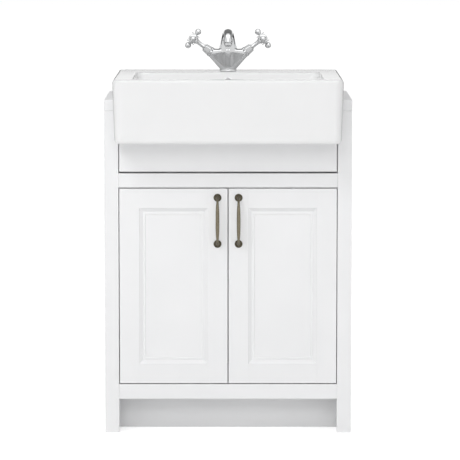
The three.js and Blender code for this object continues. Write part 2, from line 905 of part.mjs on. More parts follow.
const gripHalves = [
  handleCollarRadius,
  handleRootHalf,
  handleNeckHalf,
  handleGripHalf,
  handleGripHalf,
  handleGripHalf,
  handleNeckHalf,
  handleRootHalf,
  handleCollarRadius,
];
const gripWidth = (share) => between(gripHalves, share);

function rosette(z) {
  const profile = [
    [0, 0],
    [rosetteRadius, 0],
    [rosetteRadius, rosetteRimThickness],
    [rosetteRadius - rosetteRimThickness, (rosetteThickness + rosetteRimThickness) / 2],
    [handleCollarRadius, rosetteThickness],
    [0, rosetteThickness],
  ];
  const geometry = turned(profile, turnedSides);
  geometry.rotateX(quarterTurn);
  geometry.translate(0, 0, z);
  return geometry;
}

for (const { name, sign } of sides) {
  const grip = bar(handlePath(), gripWidth, gripWidth, handleSteps, handleSides);
  const whole = join(grip, rosette(halfCentres), rosette(-halfCentres));
  const behindDoor = block(-halfCentres, halfCentres, 0, handleStandoff, -handleCentres,
    handleCentres);
  const handle = place(unit, `${name}_door_handle`, toGeometry(cut(whole, behindDoor)),
    antiqueBrass());
  handle.position.set(sign * handleEdge, faceY, handleMiddle);
}

// Hinges: the cup goes with the door, the arm and its plate stay with the cabinet.

function hingeCup() {
  const profile = [
    [0, cupDepth],
    [cupRadius, cupDepth],
    [cupRadius, 0],
    [cupRadius, -cupPlateThickness],
    [cupRadius - cupWall, -cupPlateThickness],
    [cupRadius - cupWall, cupDepth - cupWall],
    [0, cupDepth - cupWall],
  ];
  const cup = turned(profile.reverse(), cupSides);
  const wings = block(-cupPlateHalfWidth, cupPlateHalfWidth, -cupPlateHalfHeight,
    cupPlateHalfHeight, -cupPlateThickness, 0);
  const wellRadius = cupRadius - cupWall;
  const well = rod(wellRadius, -overrun, cupDepth - cupWall, cupSides);
  const pinHalf = wellRadius + cupWall * halfShare;
  const pin = rod(cupPinRadius, -pinHalf, pinHalf, pinSides);
  pin.rotateX(quarterTurn);
  pin.translate(0, 0, cupPinDepth);
  const whole = cut(toSolid(cup).add(toSolid(wings)), well).add(toSolid(pin));
  const geometry = toGeometry(whole);
  geometry.rotateX(quarterTurn);
  return geometry;
}

// The arm reaches into the cup as far as its cross pin, then cranks back to its plate on the packer.
const armNose = doorBack - cupPinDepth + cupPinRadius + fitGap;
const plateStart = carcassFront + plateFront;
const plateEnd = plateStart + plateLength;
const plateFace = legInner - plateThickness;
const armOutline = [
  [cupX - armThickness, armNose],
  [cupX + armThickness, armNose],
  [plateFace - armDrop + armThickness, plateStart],
  [plateFace, plateStart + armDrop],
  [plateFace, plateEnd - armThickness],
  [plateFace - armThickness, plateEnd - armThickness],
  [plateFace - armDrop, plateStart + armDrop],
];

for (const { name, sign } of sides) {
  for (const { level, z } of hingeHeights) {
    const cup = place(unit, `${name}_${level}_hinge_cup`, hingeCup(), steel());
    cup.position.set(sign * cupX, doorBack, z);

    const outline = armOutline.map(([x, y]) => [sign * x, y]);
    const arm = prismZ(outline, -armHeight / 2, armHeight / 2);
    const [plate0, plate1] = span(sign, plateFace, legInner);
    const plate = block(plate0, plate1, plateStart, plateEnd, -plateHeight / 2, plateHeight / 2);
    const whole = place(unit, `${name}_${level}_hinge_arm`, toGeometry(join(arm, plate)), steel());
    whole.position.z = z;
  }
}

// Waste

const waste = new THREE.Group();
waste.position.set(0, wasteY, bowlFloor);
unit.add(waste);

const tubeInner = wasteTubeRadius - wasteTubeWall;
const wasteProfile = [
  [tubeInner, -wasteTubeLength],
  [wasteTubeRadius, -wasteTubeLength],
  [wasteTubeRadius, -wasteFlangeThickness],
  [wasteFlangeRadius, -wasteFlangeThickness],
  [wasteFlangeRadius, -wasteFlangeThickness * halfShare],
  [wasteFlangeRadius - wasteTubeWall, 0],
  [tubeInner + wasteTubeWall, 0],
  [tubeInner, -wasteTubeWall],
  [tubeInner, -wasteTubeLength],
];
const guideHigh = -wasteGuideDrop;
const guideLow = guideHigh - wasteGuideHeight;
const guide = turnedRing(plugStemRadius + fitGap, wasteGuideRadius, guideLow, guideHigh, wasteSides);
const webs = shares(wasteWebs).slice(1).map((share) => {
  const web = block(wasteGuideRadius - wasteWebThickness * halfShare, tubeInner + wasteTubeWall * halfShare,
    -wasteWebThickness / 2, wasteWebThickness / 2, guideLow, guideHigh);
  web.rotateZ(share * fullTurn);
  return web;
});
const slotHigh = bowlFall - basinWall;
const slot = block(-wasteSlotWidth / 2, wasteSlotWidth / 2, -wasteTubeRadius - overrun,
  wasteTubeRadius + overrun, slotHigh - wasteSlotHeight, slotHigh - wasteTubeWall);
const wasteBody = cut(toSolid(turned(wasteProfile, wasteSides)), slot);
const wasteWhole = [guide, ...webs].reduce((sum, piece) => sum.add(toSolid(piece)), wasteBody);
place(waste, "waste_body", toGeometry(wasteWhole), chrome());

const plugProfile = [
  [0, fitGap - plugStemLength],
  [plugStemRadius, fitGap - plugStemLength],
  [plugStemRadius, fitGap],
  [plugRadius, fitGap],
  [plugRadius, fitGap + plugEdge],
  [plugRadius * Math.cos(quarterTurn / 2), fitGap + plugEdge + plugDome * halfShare],
  [0, fitGap + plugEdge + plugDome * halfShare + wasteTubeWall],
];
place(waste, "waste_plug", turned(plugProfile, wasteSides), chrome());

const sealTop = bossBottom - bowlFloor;
const sealBottom = sealTop - wasteSealThickness;
const tubeClear = wasteTubeRadius + fitGap;
place(waste, "waste_seal",
  turnedRing(tubeClear, wasteSealRadius, sealBottom, sealTop, wasteSides), rubber());
const nutRing = turned([
  [0, sealBottom - wasteNutHeight],
  [wasteNutRadius, sealBottom - wasteNutHeight],
  [wasteNutRadius, sealBottom],
  [0, sealBottom],
], wasteNutSides);
const nutBore = rod(tubeClear, sealBottom - wasteNutHeight - overrun, sealBottom + overrun, wasteSides);
place(waste, "waste_backnut", toGeometry(cut(toSolid(nutRing), nutBore)), plastic());

// Tap

const tap = new THREE.Group();
tap.position.set(0, tapY, rimHeight);
unit.add(tap);

// The seal lies in a groove between the body's skirt and the boss that its tails screw into.
const bodyLow = tapSealThickness;
const sealRadius = tapBaseRadius - tapBaseSkirt - fitGap;
place(tap, "tap_base_seal",
  turnedRing(sealRadius - tapSealWall, sealRadius, 0, bodyLow, tapSides), rubber());
const sealGroove = turnedRing(sealRadius - tapSealWall - fitGap, sealRadius + fitGap, -overrun,
  bodyLow, tapSides);

// The core is an upright cylinder on a slightly wider base.
const bodyProfile = [
  [0, fitGap],
  [tapBaseRadius, fitGap],
  [tapBaseRadius, bodyLow + tapBaseHeight],
  [tapCoreRadius, bodyLow + tapBaseHeight],
  [tapCoreRadius, tapCoreHeight],
  [tapCoreRadius * halfShare, tapCoreHeight + tapCoreDome],
  [0, tapCoreHeight + tapCoreDome],
];

// The spout rises out of the body, arches forward and drops to the outlet.
function spoutPath() {
  const centreHigh = spoutPeak - spoutTipHalf;
  const root = new THREE.Vector3(0, 0, spoutRootHeight);
  const rise = new THREE.Vector3(0, 0, centreHigh);
  const crown = new THREE.Vector3(0, -spoutReach * halfShare, centreHigh);
  const fore = new THREE.Vector3(0, -spoutReach, centreHigh);
  const tip = new THREE.Vector3(0, -spoutReach, spoutOutlet);
  const path = new THREE.CurvePath();
  path.add(new THREE.QuadraticBezierCurve3(root, rise, crown));
  path.add(new THREE.QuadraticBezierCurve3(crown, fore, tip));
  return path;
}

function spoutHalf(taperShares, thinHalf) {
  return (share) => THREE.MathUtils.lerp(spoutRootHalf, thinHalf, between(taperShares, share));
}

const spout = bar(spoutPath(), spoutHalf(spoutWidthShares, spoutTipHalf),
  spoutHalf(spoutDepthShares, spoutThinHalf), spoutSteps, spoutSides);

const armAngle = THREE.MathUtils.degToRad(tapArmAngle);

// Leans a piece made along +Z over to an arm on one side.
function alongArm(geometry, sign) {
  geometry.rotateY(sign * (quarterTurn - armAngle));
  geometry.translate(0, 0, tapArmRise);
  return geometry;
}

// Each shoulder is the skin stretched over the core and the end of its arm.
const ringFace = tapArmLength + tapRingLength;
const core = rod(tapCoreRadius, bodyLow + tapBaseHeight, tapCoreHeight, tapSides);

function shoulder(sign) {
  const armEnd = alongArm(
    rod(tapArmRadius, tapArmLength - tapArmNeck, tapArmLength, tapSides), sign);
  return wasm.Manifold.hull([toSolid(core), toSolid(armEnd)]);
}

function armRing(sign) {
  return alongArm(rod(tapRingRadius, tapArmLength - tapArmNeck * halfShare, ringFace, tapSides), sign);
}

const cartridgeHole = () => rod(cartridgeBore / 2 + fitGap, ringFace - cartridgeDepth, ringFace + overrun,
  turnedSides);
const inlets = sides.map(({ sign }) => {
  const bore = rod(inletRadius, -overrun, bodyLow + inletDepth, turnedSides);
  bore.translate(sign * inletHalfSpacing, inletShift, 0);
  return bore;
});
const studBore = rod(studRadius + fitGap, -overrun, bodyLow + studDepth, turnedSides);
studBore.translate(0, -studShift * halfShare, 0);
const outletBore = rod(spoutBore, spoutOutlet - overrun, spoutOutlet + spoutBoreDepth, turnedSides);
outletBore.translate(0, -spoutReach, 0);
const tapCasting = sides.reduce(
  (sum, { sign }) => sum.add(shoulder(sign)).add(toSolid(armRing(sign))),
  join(turned(bodyProfile, tapSides), spout),
);
const tapBody = cut(
  tapCasting,
  sealGroove, ...inlets, studBore, outletBore,
  ...sides.map(({ sign }) => alongArm(cartridgeHole(), sign)),
);
place(tap, "tap_body", toGeometry(tapBody), chrome());

const aeratorLow = spoutOutlet - aeratorLength;
const aeratorProfile = [
  [aeratorRadius - aeratorWall - fitGap, aeratorLow],
  [aeratorRadius, aeratorLow],
  [aeratorRadius, spoutOutlet - fitGap],
  [spoutBore - fitGap, spoutOutlet - fitGap],
  [spoutBore - fitGap, spoutOutlet + spoutBoreDepth * halfShare],
  [0, spoutOutlet + spoutBoreDepth * halfShare],
  [0, spoutOutlet],
  [aeratorRadius - aeratorWall - fitGap, spoutOutlet],
  [aeratorRadius - aeratorWall - fitGap, aeratorLow],
];
const aerator = turned(aeratorProfile, turnedSides);
aerator.translate(0, -spoutReach, 0);
place(tap, "tap_aerator", aerator, chrome());

// The stud, the clamp plate and the nut hold the tap down from under the deck.
const deckUnder = -basinDeck;
const stud = rod(studRadius, bodyLow + studDepth - studLength, bodyLow + studDepth, turnedSides);
stud.translate(0, -studShift * halfShare, 0);
place(tap, "tap_stud", stud, steel());
const clampDisc = rod(clampRadius, deckUnder - clampThickness, deckUnder, tapSides);
const clampSlot = block(-clampSlotHalf, clampSlotHalf, inletShift - clampSlotHalf * halfShare,
  clampRadius + overrun, deckUnder - clampThickness - overrun, deckUnder + overrun);
const clampBore = rod(studRadius + fitGap, deckUnder - clampThickness - overrun, deckUnder + overrun,
  turnedSides);
clampBore.translate(0, -studShift * halfShare, 0);
place(tap, "tap_clamp_plate", toGeometry(cut(toSolid(clampDisc), clampSlot, clampBore)), steel());
const nutTop = deckUnder - clampThickness;
const tapNut = rod(tapNutRadius, nutTop - tapNutHeight, nutTop, hexagonSides);
const tapNutBore = rod(studRadius + fitGap, nutTop - tapNutHeight - overrun, nutTop + overrun,
  turnedSides);
const tapNutWhole = toGeometry(cut(toSolid(tapNut), tapNutBore));
tapNutWhole.translate(0, -studShift * halfShare, 0);
place(tap, "tap_backnut", tapNutWhole, brass());

// Valves and cross handles

const coverBack = ringFace + fitGap;
const coverFront = coverBack + coverLength;
const cartridgeTop = coverBack + cartridgeFlangeLength;

function cartridge() {
  const inner = spindleRadius + fitGap;
  return turned([
    [inner, ringFace - cartridgeDepth + fitGap],
    [cartridgeBore / 2, ringFace - cartridgeDepth + fitGap],
    [cartridgeBore / 2, coverBack],
    [cartridgeFlange / 2, coverBack],
    [cartridgeFlange / 2, cartridgeTop],
    [cartridgeNeckRadius, cartridgeTop],
    [cartridgeNeckRadius, cartridgeTop + cartridgeNeckLength],
    [inner, cartridgeTop + cartridgeNeckLength],
    [inner, ringFace - cartridgeDepth + fitGap],
  ], turnedSides);
}

// A hexagonal cover, narrower outwards, with its bore open to the arm.
function valveCover() {
  const hexagon = turned([
    [0, coverBack],
    [coverRootRadius, coverBack],
    [coverTipRadius, coverFront],
    [0, coverFront],
  ], hexagonSides);
  const bore = rod(coverBore / 2 - fitGap, coverBack - overrun, coverFront - coverEndWall, turnedSides);
  const passage = rod(spindleRadius + fitGap, coverBack, coverFront + overrun, turnedSides);
  return toGeometry(cut(toSolid(hexagon), bore, passage));
}

const neckStart = coverFront + fitGap;
const hubLow = hubCentre - hubHalf;
const hubHigh = hubCentre + hubHalf;

function ball(x, y, z) {
  const geometry = new THREE.SphereGeometry(ballRadius, ballSides, ballRings);
  geometry.translate(x, y, z);
  return geometry;
}

// One spoke with its ring and its ball.
function spoke(angle) {
  const arm = rod(spokeRadius, 0, spokeReach, turnedSides * halfShare);
  const ring = rod(spokeRingRadius, spokeRingReach - spokeRingThickness / 2,
    spokeRingReach + spokeRingThickness / 2, turnedSides);
  const whole = toGeometry(join(arm, ring, ball(0, 0, spokeReach)));
  whole.rotateY(quarterTurn);
  whole.rotateZ(angle);
  whole.translate(0, 0, hubCentre);
  return whole;
}

// The neck, hub and four spokes are one casting, bored for the spindle and the index cap.
function crossHandle() {
  const body = turned([
    [0, neckStart],
    [neckRadius, neckStart],
    [neckRadius, (neckStart + hubLow) * halfShare],
    [neckFlareRadius, hubLow - spokeRingThickness],
    [neckFlareRadius, hubLow],
    [hubRadius, hubLow + spokeRingThickness],
    [hubRadius, hubHigh - spokeRingThickness],
    [hubRadius - spokeRingThickness, hubHigh],
    [0, hubHigh],
  ], turnedSides);
  const spokes = shares(spokeCount).slice(1).map((share) => spoke(share * fullTurn));
  const bore = rod(spindleRadius + fitGap, neckStart - overrun, hubLow + hubBoreDepth, turnedSides);
  const recessForCap = rod(capRadius + fitGap, hubHigh - capRecess, hubHigh + overrun, turnedSides);
  return toGeometry(cut(join(body, ...spokes), bore, recessForCap));
}

function indexCap() {
  const low = hubHigh - capRecess + fitGap;
  return turned([
    [0, low],
    [capRadius, low],
    [capRadius, hubHigh + capRecess * halfShare],
    [capRadius * Math.cos(quarterTurn / 2), hubHigh + capDome * halfShare + capRecess * halfShare],
    [0, hubHigh + capDome],
  ], turnedSides);
}

for (const { name, sign } of sides) {
  const arm = new THREE.Group();
  arm.position.z = tapArmRise;
  arm.rotation.y = sign * (quarterTurn - armAngle);
  tap.add(arm);
  place(arm, `${name}_valve_cartridge`, cartridge(), brass());
  place(arm, `${name}_valve_cover`, valveCover(), chrome());
  const spindle = rod(spindleRadius, spindleStart, hubLow + hubBoreDepth - fitGap, turnedSides);
  place(arm, `${name}_valve_spindle`, spindle, brass());
  place(arm, `${name}_cross_handle`, crossHandle(), chrome());
  place(arm, `${name}_index_cap`, indexCap(), porcelain());
}

export default unit;
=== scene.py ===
# %% [markdown]
# # A semi-recessed vanity unit
# A painted two-door cabinet carries a deep white basin that stands out past its doors, and a
# two-handle mixer tap stands on the basin's deck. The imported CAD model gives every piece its
# place. This lesson dresses each piece with finer shapes and finishes, then lights the unit.

# %% Load the frame
import json
import math

import bmesh
import bpy
from mathutils import Matrix, Vector


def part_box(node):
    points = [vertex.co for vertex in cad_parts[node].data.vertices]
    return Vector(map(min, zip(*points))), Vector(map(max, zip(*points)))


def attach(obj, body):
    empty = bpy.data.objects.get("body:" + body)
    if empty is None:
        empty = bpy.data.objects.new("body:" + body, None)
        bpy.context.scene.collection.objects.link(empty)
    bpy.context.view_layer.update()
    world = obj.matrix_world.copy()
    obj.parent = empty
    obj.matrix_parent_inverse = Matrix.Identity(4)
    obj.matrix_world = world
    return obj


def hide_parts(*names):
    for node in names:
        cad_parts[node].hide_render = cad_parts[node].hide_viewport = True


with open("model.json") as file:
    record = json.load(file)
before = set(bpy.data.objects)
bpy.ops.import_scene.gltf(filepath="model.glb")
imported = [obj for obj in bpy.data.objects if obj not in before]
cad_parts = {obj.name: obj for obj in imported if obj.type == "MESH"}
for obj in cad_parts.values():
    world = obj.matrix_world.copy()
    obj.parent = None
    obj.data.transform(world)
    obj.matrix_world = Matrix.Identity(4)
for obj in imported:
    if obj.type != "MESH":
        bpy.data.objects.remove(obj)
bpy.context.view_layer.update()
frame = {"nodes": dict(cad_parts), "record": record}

nodes = frame["nodes"]
MM = 0.001
SIDES = (("left", -1), ("right", 1))

# %% [markdown]
# ## Camera
# The photograph looks slightly down at the unit from far away: the basin's top shows as a thin
# band, and the upright edges stay almost parallel. A long lens about seven metres off, tipped down
# by a few degrees, gives both. The lens is shifted only sideways, by the two pixels that the unit
# is off the middle.

# %% Camera
FRAME_PIXELS = 460
LENS_PIXELS = 2867.2
SIDE_SHIFT_PIXELS = 1.95
TIPPED_DOWN = 6.48
lens = bpy.data.cameras.new("photo_lens")
lens.sensor_width = 36
lens.lens = lens.sensor_width * LENS_PIXELS / FRAME_PIXELS
lens.shift_x = SIDE_SHIFT_PIXELS / FRAME_PIXELS
lens.clip_end = 60
camera = bpy.data.objects.new("photo_camera", lens)
camera.location = (0, -7.136, 1.305)
camera.rotation_euler = (math.radians(90 - TIPPED_DOWN), 0, 0)
bpy.context.scene.collection.objects.link(camera)
bpy.context.scene.camera = camera
print("lens", round(lens.lens, 1), "mm")

# %% [markdown]
# ## Small helpers for meshes
# Each new piece is drawn as a bmesh in millimetres, like the CAD, and scaled to metres at the end.
# Its object then sits at the origin, rides on its CAD body and stands for its CAD node. One helper
# does all of that, so no piece forgets a step. Weighted normals keep the broad faces flat to the
# eye beside their rounded edges.

# %% Mesh helpers
BODY_OF = {name: body for body, members in frame["record"]["behaviour"]["bodies"].items()
           for name in members}
SLOT_OF = {part["node"]: part["material_slot"] for part in frame["record"]["subparts"]}
MERGE = 0.001


def linked_object(mesh, name):
    """An object of a mesh, linked to the scene. The mesh is freed."""
    data = bpy.data.meshes.new(name)
    mesh.to_mesh(data)
    mesh.free()
    made = bpy.data.objects.new(name, data)
    bpy.context.scene.collection.objects.link(made)
    return made


def new_piece(mesh, name, body, material, smooth_angle=35):
    """Makes an object of a mesh drawn in millimetres, which rides on a CAD body."""
    bmesh.ops.remove_doubles(mesh, verts=mesh.verts, dist=MERGE)
    bmesh.ops.scale(mesh, verts=mesh.verts, vec=(MM, MM, MM))
    bmesh.ops.recalc_face_normals(mesh, faces=mesh.faces)
    for face in mesh.faces:
        face.smooth = True
    piece = linked_object(mesh, name)
    piece.data.set_sharp_from_angle(angle=math.radians(smooth_angle))
    piece.modifiers.new("even_shading", "WEIGHTED_NORMAL").keep_sharp = True
    piece.data.materials.append(material)
    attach(piece, body)
    return piece


def finish_piece(mesh, name, stands_for, material, smooth_angle=35):
    """A new piece in the place of a CAD node, with the node's body and the given finish."""
    piece = new_piece(mesh, name, BODY_OF[stands_for], material, smooth_angle)
    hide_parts(stands_for)
    return piece


def box_mesh(low, high):
    """A closed box between two corners."""
    mesh = bmesh.new()
    centre = (Vector(low) + Vector(high)) / 2
    size = Vector(high) - Vector(low)
    place = Matrix.Translation(centre) @ Matrix.Diagonal((*size, 1))
    bmesh.ops.create_cube(mesh, size=1, matrix=place)
    return mesh


def round_edges(mesh, edges, radius, segments):
    return bmesh.ops.bevel(mesh, geom=edges, offset=radius, segments=segments, profile=0.5,
                           affect="EDGES", material=-1, clamp_overlap=True)


def sharp_edges(mesh, degrees=40):
    return [edge for edge in mesh.edges
            if len(edge.link_faces) == 2 and edge.calc_face_angle() > math.radians(degrees)]


def node_box(name):
    """The lowest and highest corner of a CAD node in millimetres."""
    low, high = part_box(name)
    return Vector(low) / MM, Vector(high) / MM

# %% [markdown]
# ## Finishes
# Every finish is a small node graph on Object coordinates, so its grain stays on the piece from
# any side. A helper adds a node and sets its inputs by name, which keeps the graphs short.

# %% Material helpers
def new_finish(name):
    finish = bpy.data.materials.new(name)
    finish.use_nodes = True
    tree = finish.node_tree
    shader = tree.nodes["Principled BSDF"]
    return finish, tree, shader


def add(tree, kind, **inputs):
    made = tree.nodes.new(kind)
    for key, value in inputs.items():
        if key in made.inputs.keys():
            made.inputs[key].default_value = value
        else:
            setattr(made, key, value)
    return made


def grain(tree, stretch, size, detail=3.0):
    """A noise pattern on Object coordinates, in metres, stretched along the axes."""
    place = add(tree, "ShaderNodeTexCoord")
    turn = add(tree, "ShaderNodeMapping")
    turn.inputs["Scale"].default_value = stretch
    noise = add(tree, "ShaderNodeTexNoise", Scale=1 / size, Detail=detail)
    tree.links.new(place.outputs["Object"], turn.inputs["Vector"])
    tree.links.new(turn.outputs["Vector"], noise.inputs["Vector"])
    return noise.outputs["Fac"]


def spread(tree, value, low, high, start=0.3, end=0.7):
    """Maps a pattern to the range from low to high."""
    mapped = add(tree, "ShaderNodeMapRange")
    for socket, number in (("From Min", start), ("From Max", end), ("To Min", low),
                           ("To Max", high)):
        mapped.inputs[socket].default_value = number
    tree.links.new(value, mapped.inputs["Value"])
    return mapped.outputs["Result"]


def two_colours(tree, factor, first, second):
    ramp = add(tree, "ShaderNodeValToRGB")
    ramp.color_ramp.elements[0].color = (*first, 1)
    ramp.color_ramp.elements[1].color = (*second, 1)
    tree.links.new(factor, ramp.inputs["Fac"])
    return ramp.outputs["Color"]


def relief(tree, shader, heights):
    """Adds bumps in a row. Each is (pattern, depth in metres, strength)."""
    last = None
    for height, depth, strength in heights:
        bump = add(tree, "ShaderNodeBump")
        bump.inputs["Distance"].default_value = depth
        bump.inputs["Strength"].default_value = strength
        tree.links.new(height, bump.inputs["Height"])
        if last is not None:
            tree.links.new(last.outputs["Normal"], bump.inputs["Normal"])
        last = bump
    tree.links.new(last.outputs["Normal"], shader.inputs["Normal"])

# %% [markdown]
# The cabinet is timber and board under a satin paint. Under the paint the grain still shows as
# faint long ridges, which run along each board, and a roller leaves a fine orange peel. The paint
# is made three times, one for each way that a board's grain runs.

# %% Paint
def paint(name, stretch):
    finish, tree, shader = new_finish(name)
    ridges = grain(tree, stretch, 0.012, 5)
    peel = grain(tree, (1, 1, 1), 0.0012, 2)
    cloud = grain(tree, (1, 1, 1), 0.16, 2)
    colour = two_colours(tree, spread(tree, cloud, 0, 1), (0.835, 0.838, 0.845),
                         (0.86, 0.862, 0.868))
    tree.links.new(colour, shader.inputs["Base Color"])
    tree.links.new(spread(tree, peel, 0.36, 0.5), shader.inputs["Roughness"])
    relief(tree, shader, [(ridges, 0.0004, 0.16), (peel, 0.0001, 0.12)])
    shader.inputs["IOR"].default_value = 1.48
    return finish


paint_upright = paint("paint_upright", (1, 1, 0.04))
paint_across = paint("paint_across", (0.04, 1, 1))
paint_deep = paint("paint_deep", (1, 0.04, 1))
print("paint made for three ways of the grain")

# %% Glaze, metals and plastics
def metal(name, light, dark, rough, size, stretch=(1, 1, 1), depth=0.00002, strength=0.1):
    finish, tree, shader = new_finish(name)
    cloud = grain(tree, stretch, size, 4)
    fine = grain(tree, stretch, size * 0.12, 3)
    colour = two_colours(tree, spread(tree, cloud, 0, 1), dark, light)
    tree.links.new(colour, shader.inputs["Base Color"])
    tree.links.new(spread(tree, fine, *rough), shader.inputs["Roughness"])
    relief(tree, shader, [(fine, depth, strength)])
    shader.inputs["Metallic"].default_value = 1
    return finish


def glaze():
    finish, tree, shader = new_finish("basin_glaze")
    cloud = grain(tree, (1, 1, 1), 0.2, 2)
    wave = grain(tree, (1, 1, 1), 0.045, 1)
    pinhole = grain(tree, (1, 1, 1), 0.0015, 2)
    colour = two_colours(tree, spread(tree, cloud, 0, 1), (0.84, 0.842, 0.845),
                         (0.86, 0.862, 0.864))
    tree.links.new(colour, shader.inputs["Base Color"])
    tree.links.new(spread(tree, pinhole, 0.07, 0.12), shader.inputs["Roughness"])
    relief(tree, shader, [(wave, 0.0006, 0.05), (pinhole, 0.00002, 0.1)])
    shader.inputs["IOR"].default_value = 1.52
    return finish


def plain(name, first, second, rough, size, depth=0.0001):
    finish, tree, shader = new_finish(name)
    cloud = grain(tree, (1, 1, 1), size, 4)
    fine = grain(tree, (1, 1, 1), size * 0.1, 2)
    colour = two_colours(tree, spread(tree, cloud, 0, 1), first, second)
    tree.links.new(colour, shader.inputs["Base Color"])
    tree.links.new(spread(tree, fine, *rough), shader.inputs["Roughness"])
    relief(tree, shader, [(fine, depth, 0.2)])
    return finish


def shaded_rubbed_brass():
    """Darker near the door face, partly patina where hands don't reach and partly painted shade
    where the handle meets the door, and rubbed lighter by hands where the grip stands out from it.
    """
    finish, tree, shader = new_finish("aged_brass")
    place = add(tree, "ShaderNodeTexCoord")
    depth = add(tree, "ShaderNodeSeparateXYZ")
    tree.links.new(place.outputs["Object"], depth.inputs["Vector"])
    door_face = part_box("left_front_leg")[0][1]
    # Painted shade and wear: the brass darkens towards the door face, where the handle meets the
    # door, and lightens further out, partly as rubbed wear.
    door_shade_and_rub = spread(tree, depth.outputs["Y"], 0, 0.6, door_face - 0.004, door_face - 0.024)
    cloud = grain(tree, (1, 1, 1), 0.006, 4)
    total = add(tree, "ShaderNodeMath", operation="ADD")
    tree.links.new(door_shade_and_rub, total.inputs[0])
    tree.links.new(spread(tree, cloud, 0, 0.4), total.inputs[1])
    colour = two_colours(tree, total.outputs["Value"], (0.055, 0.048, 0.035), (0.215, 0.19, 0.137))
    tree.links.new(colour, shader.inputs["Base Color"])
    tree.links.new(spread(tree, cloud, 0.34, 0.5), shader.inputs["Roughness"])
    relief(tree, shader, [(grain(tree, (1, 1, 1), 0.0008, 3), 0.0002, 0.25)])
    shader.inputs["Metallic"].default_value = 1
    return finish


basin_glaze = glaze()
tap_chrome = metal("tap_chrome", (0.62, 0.626, 0.63), (0.59, 0.596, 0.6), (0.05, 0.09), 0.03)
aged_brass = shaded_rubbed_brass()
plated_steel = metal("plated_steel", (0.62, 0.63, 0.64), (0.5, 0.51, 0.52), (0.25, 0.4), 0.01)
bare_brass = metal("bare_brass", (0.72, 0.52, 0.24), (0.58, 0.4, 0.18), (0.25, 0.4), 0.01)
seal_rubber = plain("seal_rubber", (0.012, 0.012, 0.013), (0.022, 0.022, 0.023), (0.6, 0.8), 0.004)
nut_plastic = plain("nut_plastic", (0.72, 0.72, 0.7), (0.78, 0.78, 0.76), (0.4, 0.55), 0.01)
cap_porcelain = plain("cap_porcelain", (0.84, 0.84, 0.82), (0.88, 0.88, 0.86), (0.08, 0.14), 0.004,
                      0.00001)

FINISH_OF = {
    "cabinet_paint": paint_upright, "basin_glaze": basin_glaze, "tap_chrome": tap_chrome,
    "aged_brass": aged_brass, "plated_steel": plated_steel, "bare_brass": bare_brass,
    "seal_rubber": seal_rubber, "nut_plastic": nut_plastic, "cap_porcelain": cap_porcelain,
}
for name, node in nodes.items():
    node.data.materials.clear()
    node.data.materials.append(FINISH_OF[SLOT_OF[name]])
print("finishes", sorted(FINISH_OF))

# %% [markdown]
# ## Plain boards
# Most of the cabinet's boards are plain rectangles. What makes them look like painted timber is the
# softened edge, which catches a thin line of light. A cube as large as the board's own CAD box,
# bevelled on all of its edges, gives that with a few faces, and a Bevel modifier would do as well.

# %% Plain boards
EDGE = 1


def grain_paint(low, high):
    """The paint whose grain runs along the longest side of a box."""
    run = high - low
    longest = max(range(3), key=lambda axis: run[axis])
    return (paint_across, paint_deep, paint_upright)[longest]


def board(name):
    low, high = node_box(name)
    mesh = box_mesh(low, high)
    round_edges(mesh, mesh.edges[:], EDGE, 3)
    return finish_piece(mesh, name + "_board", name, grain_paint(low, high))


plain_boards = ["mid_rail", "bottom_rail", "cabinet_floor", "plinth", "shelf"]
for side, _ in SIDES:
    plain_boards += [side + "_front_leg", side + "_hinge_packer", side + "_door_panel"]
for name in plain_boards:
    board(name)
print(len(plain_boards), "plain boards")

# %% [markdown]
# ## Boards with cut-outs
# The side panels are drilled for shelf pins. The back panel and worktop are sawn out for pipes,
# bowl and tap, and the fascia has a U that the bowl passes through. Each starts as the same cube,
# and a Boolean takes a cutter away, as the saw does. The cut edges are bevelled afterwards, which
# needs no counting of edges: the sharp ones are found by the angle between their faces.

# %% Carving
CUT_MERGE = 0.002


def as_mesh(made, *used):
    """The mesh of an object with its modifiers applied. The objects that made it are deleted."""
    mesh = bmesh.new()
    mesh.from_object(made, bpy.context.evaluated_depsgraph_get())
    for item in (made, *used):
        data = item.data
        bpy.data.objects.remove(item)
        bpy.data.meshes.remove(data)
    return mesh


def combine(mesh, *steps):
    """Works through Boolean steps on a mesh. Each step is an operation and another mesh."""
    bmesh.ops.recalc_face_normals(mesh, faces=mesh.faces)
    base = linked_object(mesh, "base")
    others = []
    for operation, other in steps:
        bmesh.ops.recalc_face_normals(other, faces=other.faces)
        others.append(linked_object(other, "other"))
        change = base.modifiers.new(operation.lower(), "BOOLEAN")
        change.operation = operation
        change.solver = "EXACT"
        change.object = others[-1]
    made = as_mesh(base, *others)
    bmesh.ops.remove_doubles(made, verts=made.verts, dist=CUT_MERGE)
    bmesh.ops.dissolve_degenerate(made, dist=CUT_MERGE, edges=made.edges)
    fill_ends(made)
    return made


def fill_ends(mesh):
    """Closes each open loop of edges with a face."""
    bmesh.ops.holes_fill(mesh, edges=[edge for edge in mesh.edges if edge.is_boundary], sides=0)


def carve(mesh, *cutters):
    return combine(mesh, *[("DIFFERENCE", cutter) for cutter in cutters])


def rod_mesh(start, end, radius, sides=32, end_radius=None):
    """A closed cylinder or cone between two points."""
    mesh = bmesh.new()
    way = Vector(end) - Vector(start)
    middle = (Vector(start) + Vector(end)) / 2
    place = Matrix.Translation(middle) @ way.to_track_quat("Z", "Y").to_matrix().to_4x4()
    bmesh.ops.create_cone(mesh, cap_ends=True, segments=sides, radius1=radius,
                          radius2=radius if end_radius is None else end_radius,
                          depth=way.length, matrix=place)
    return mesh

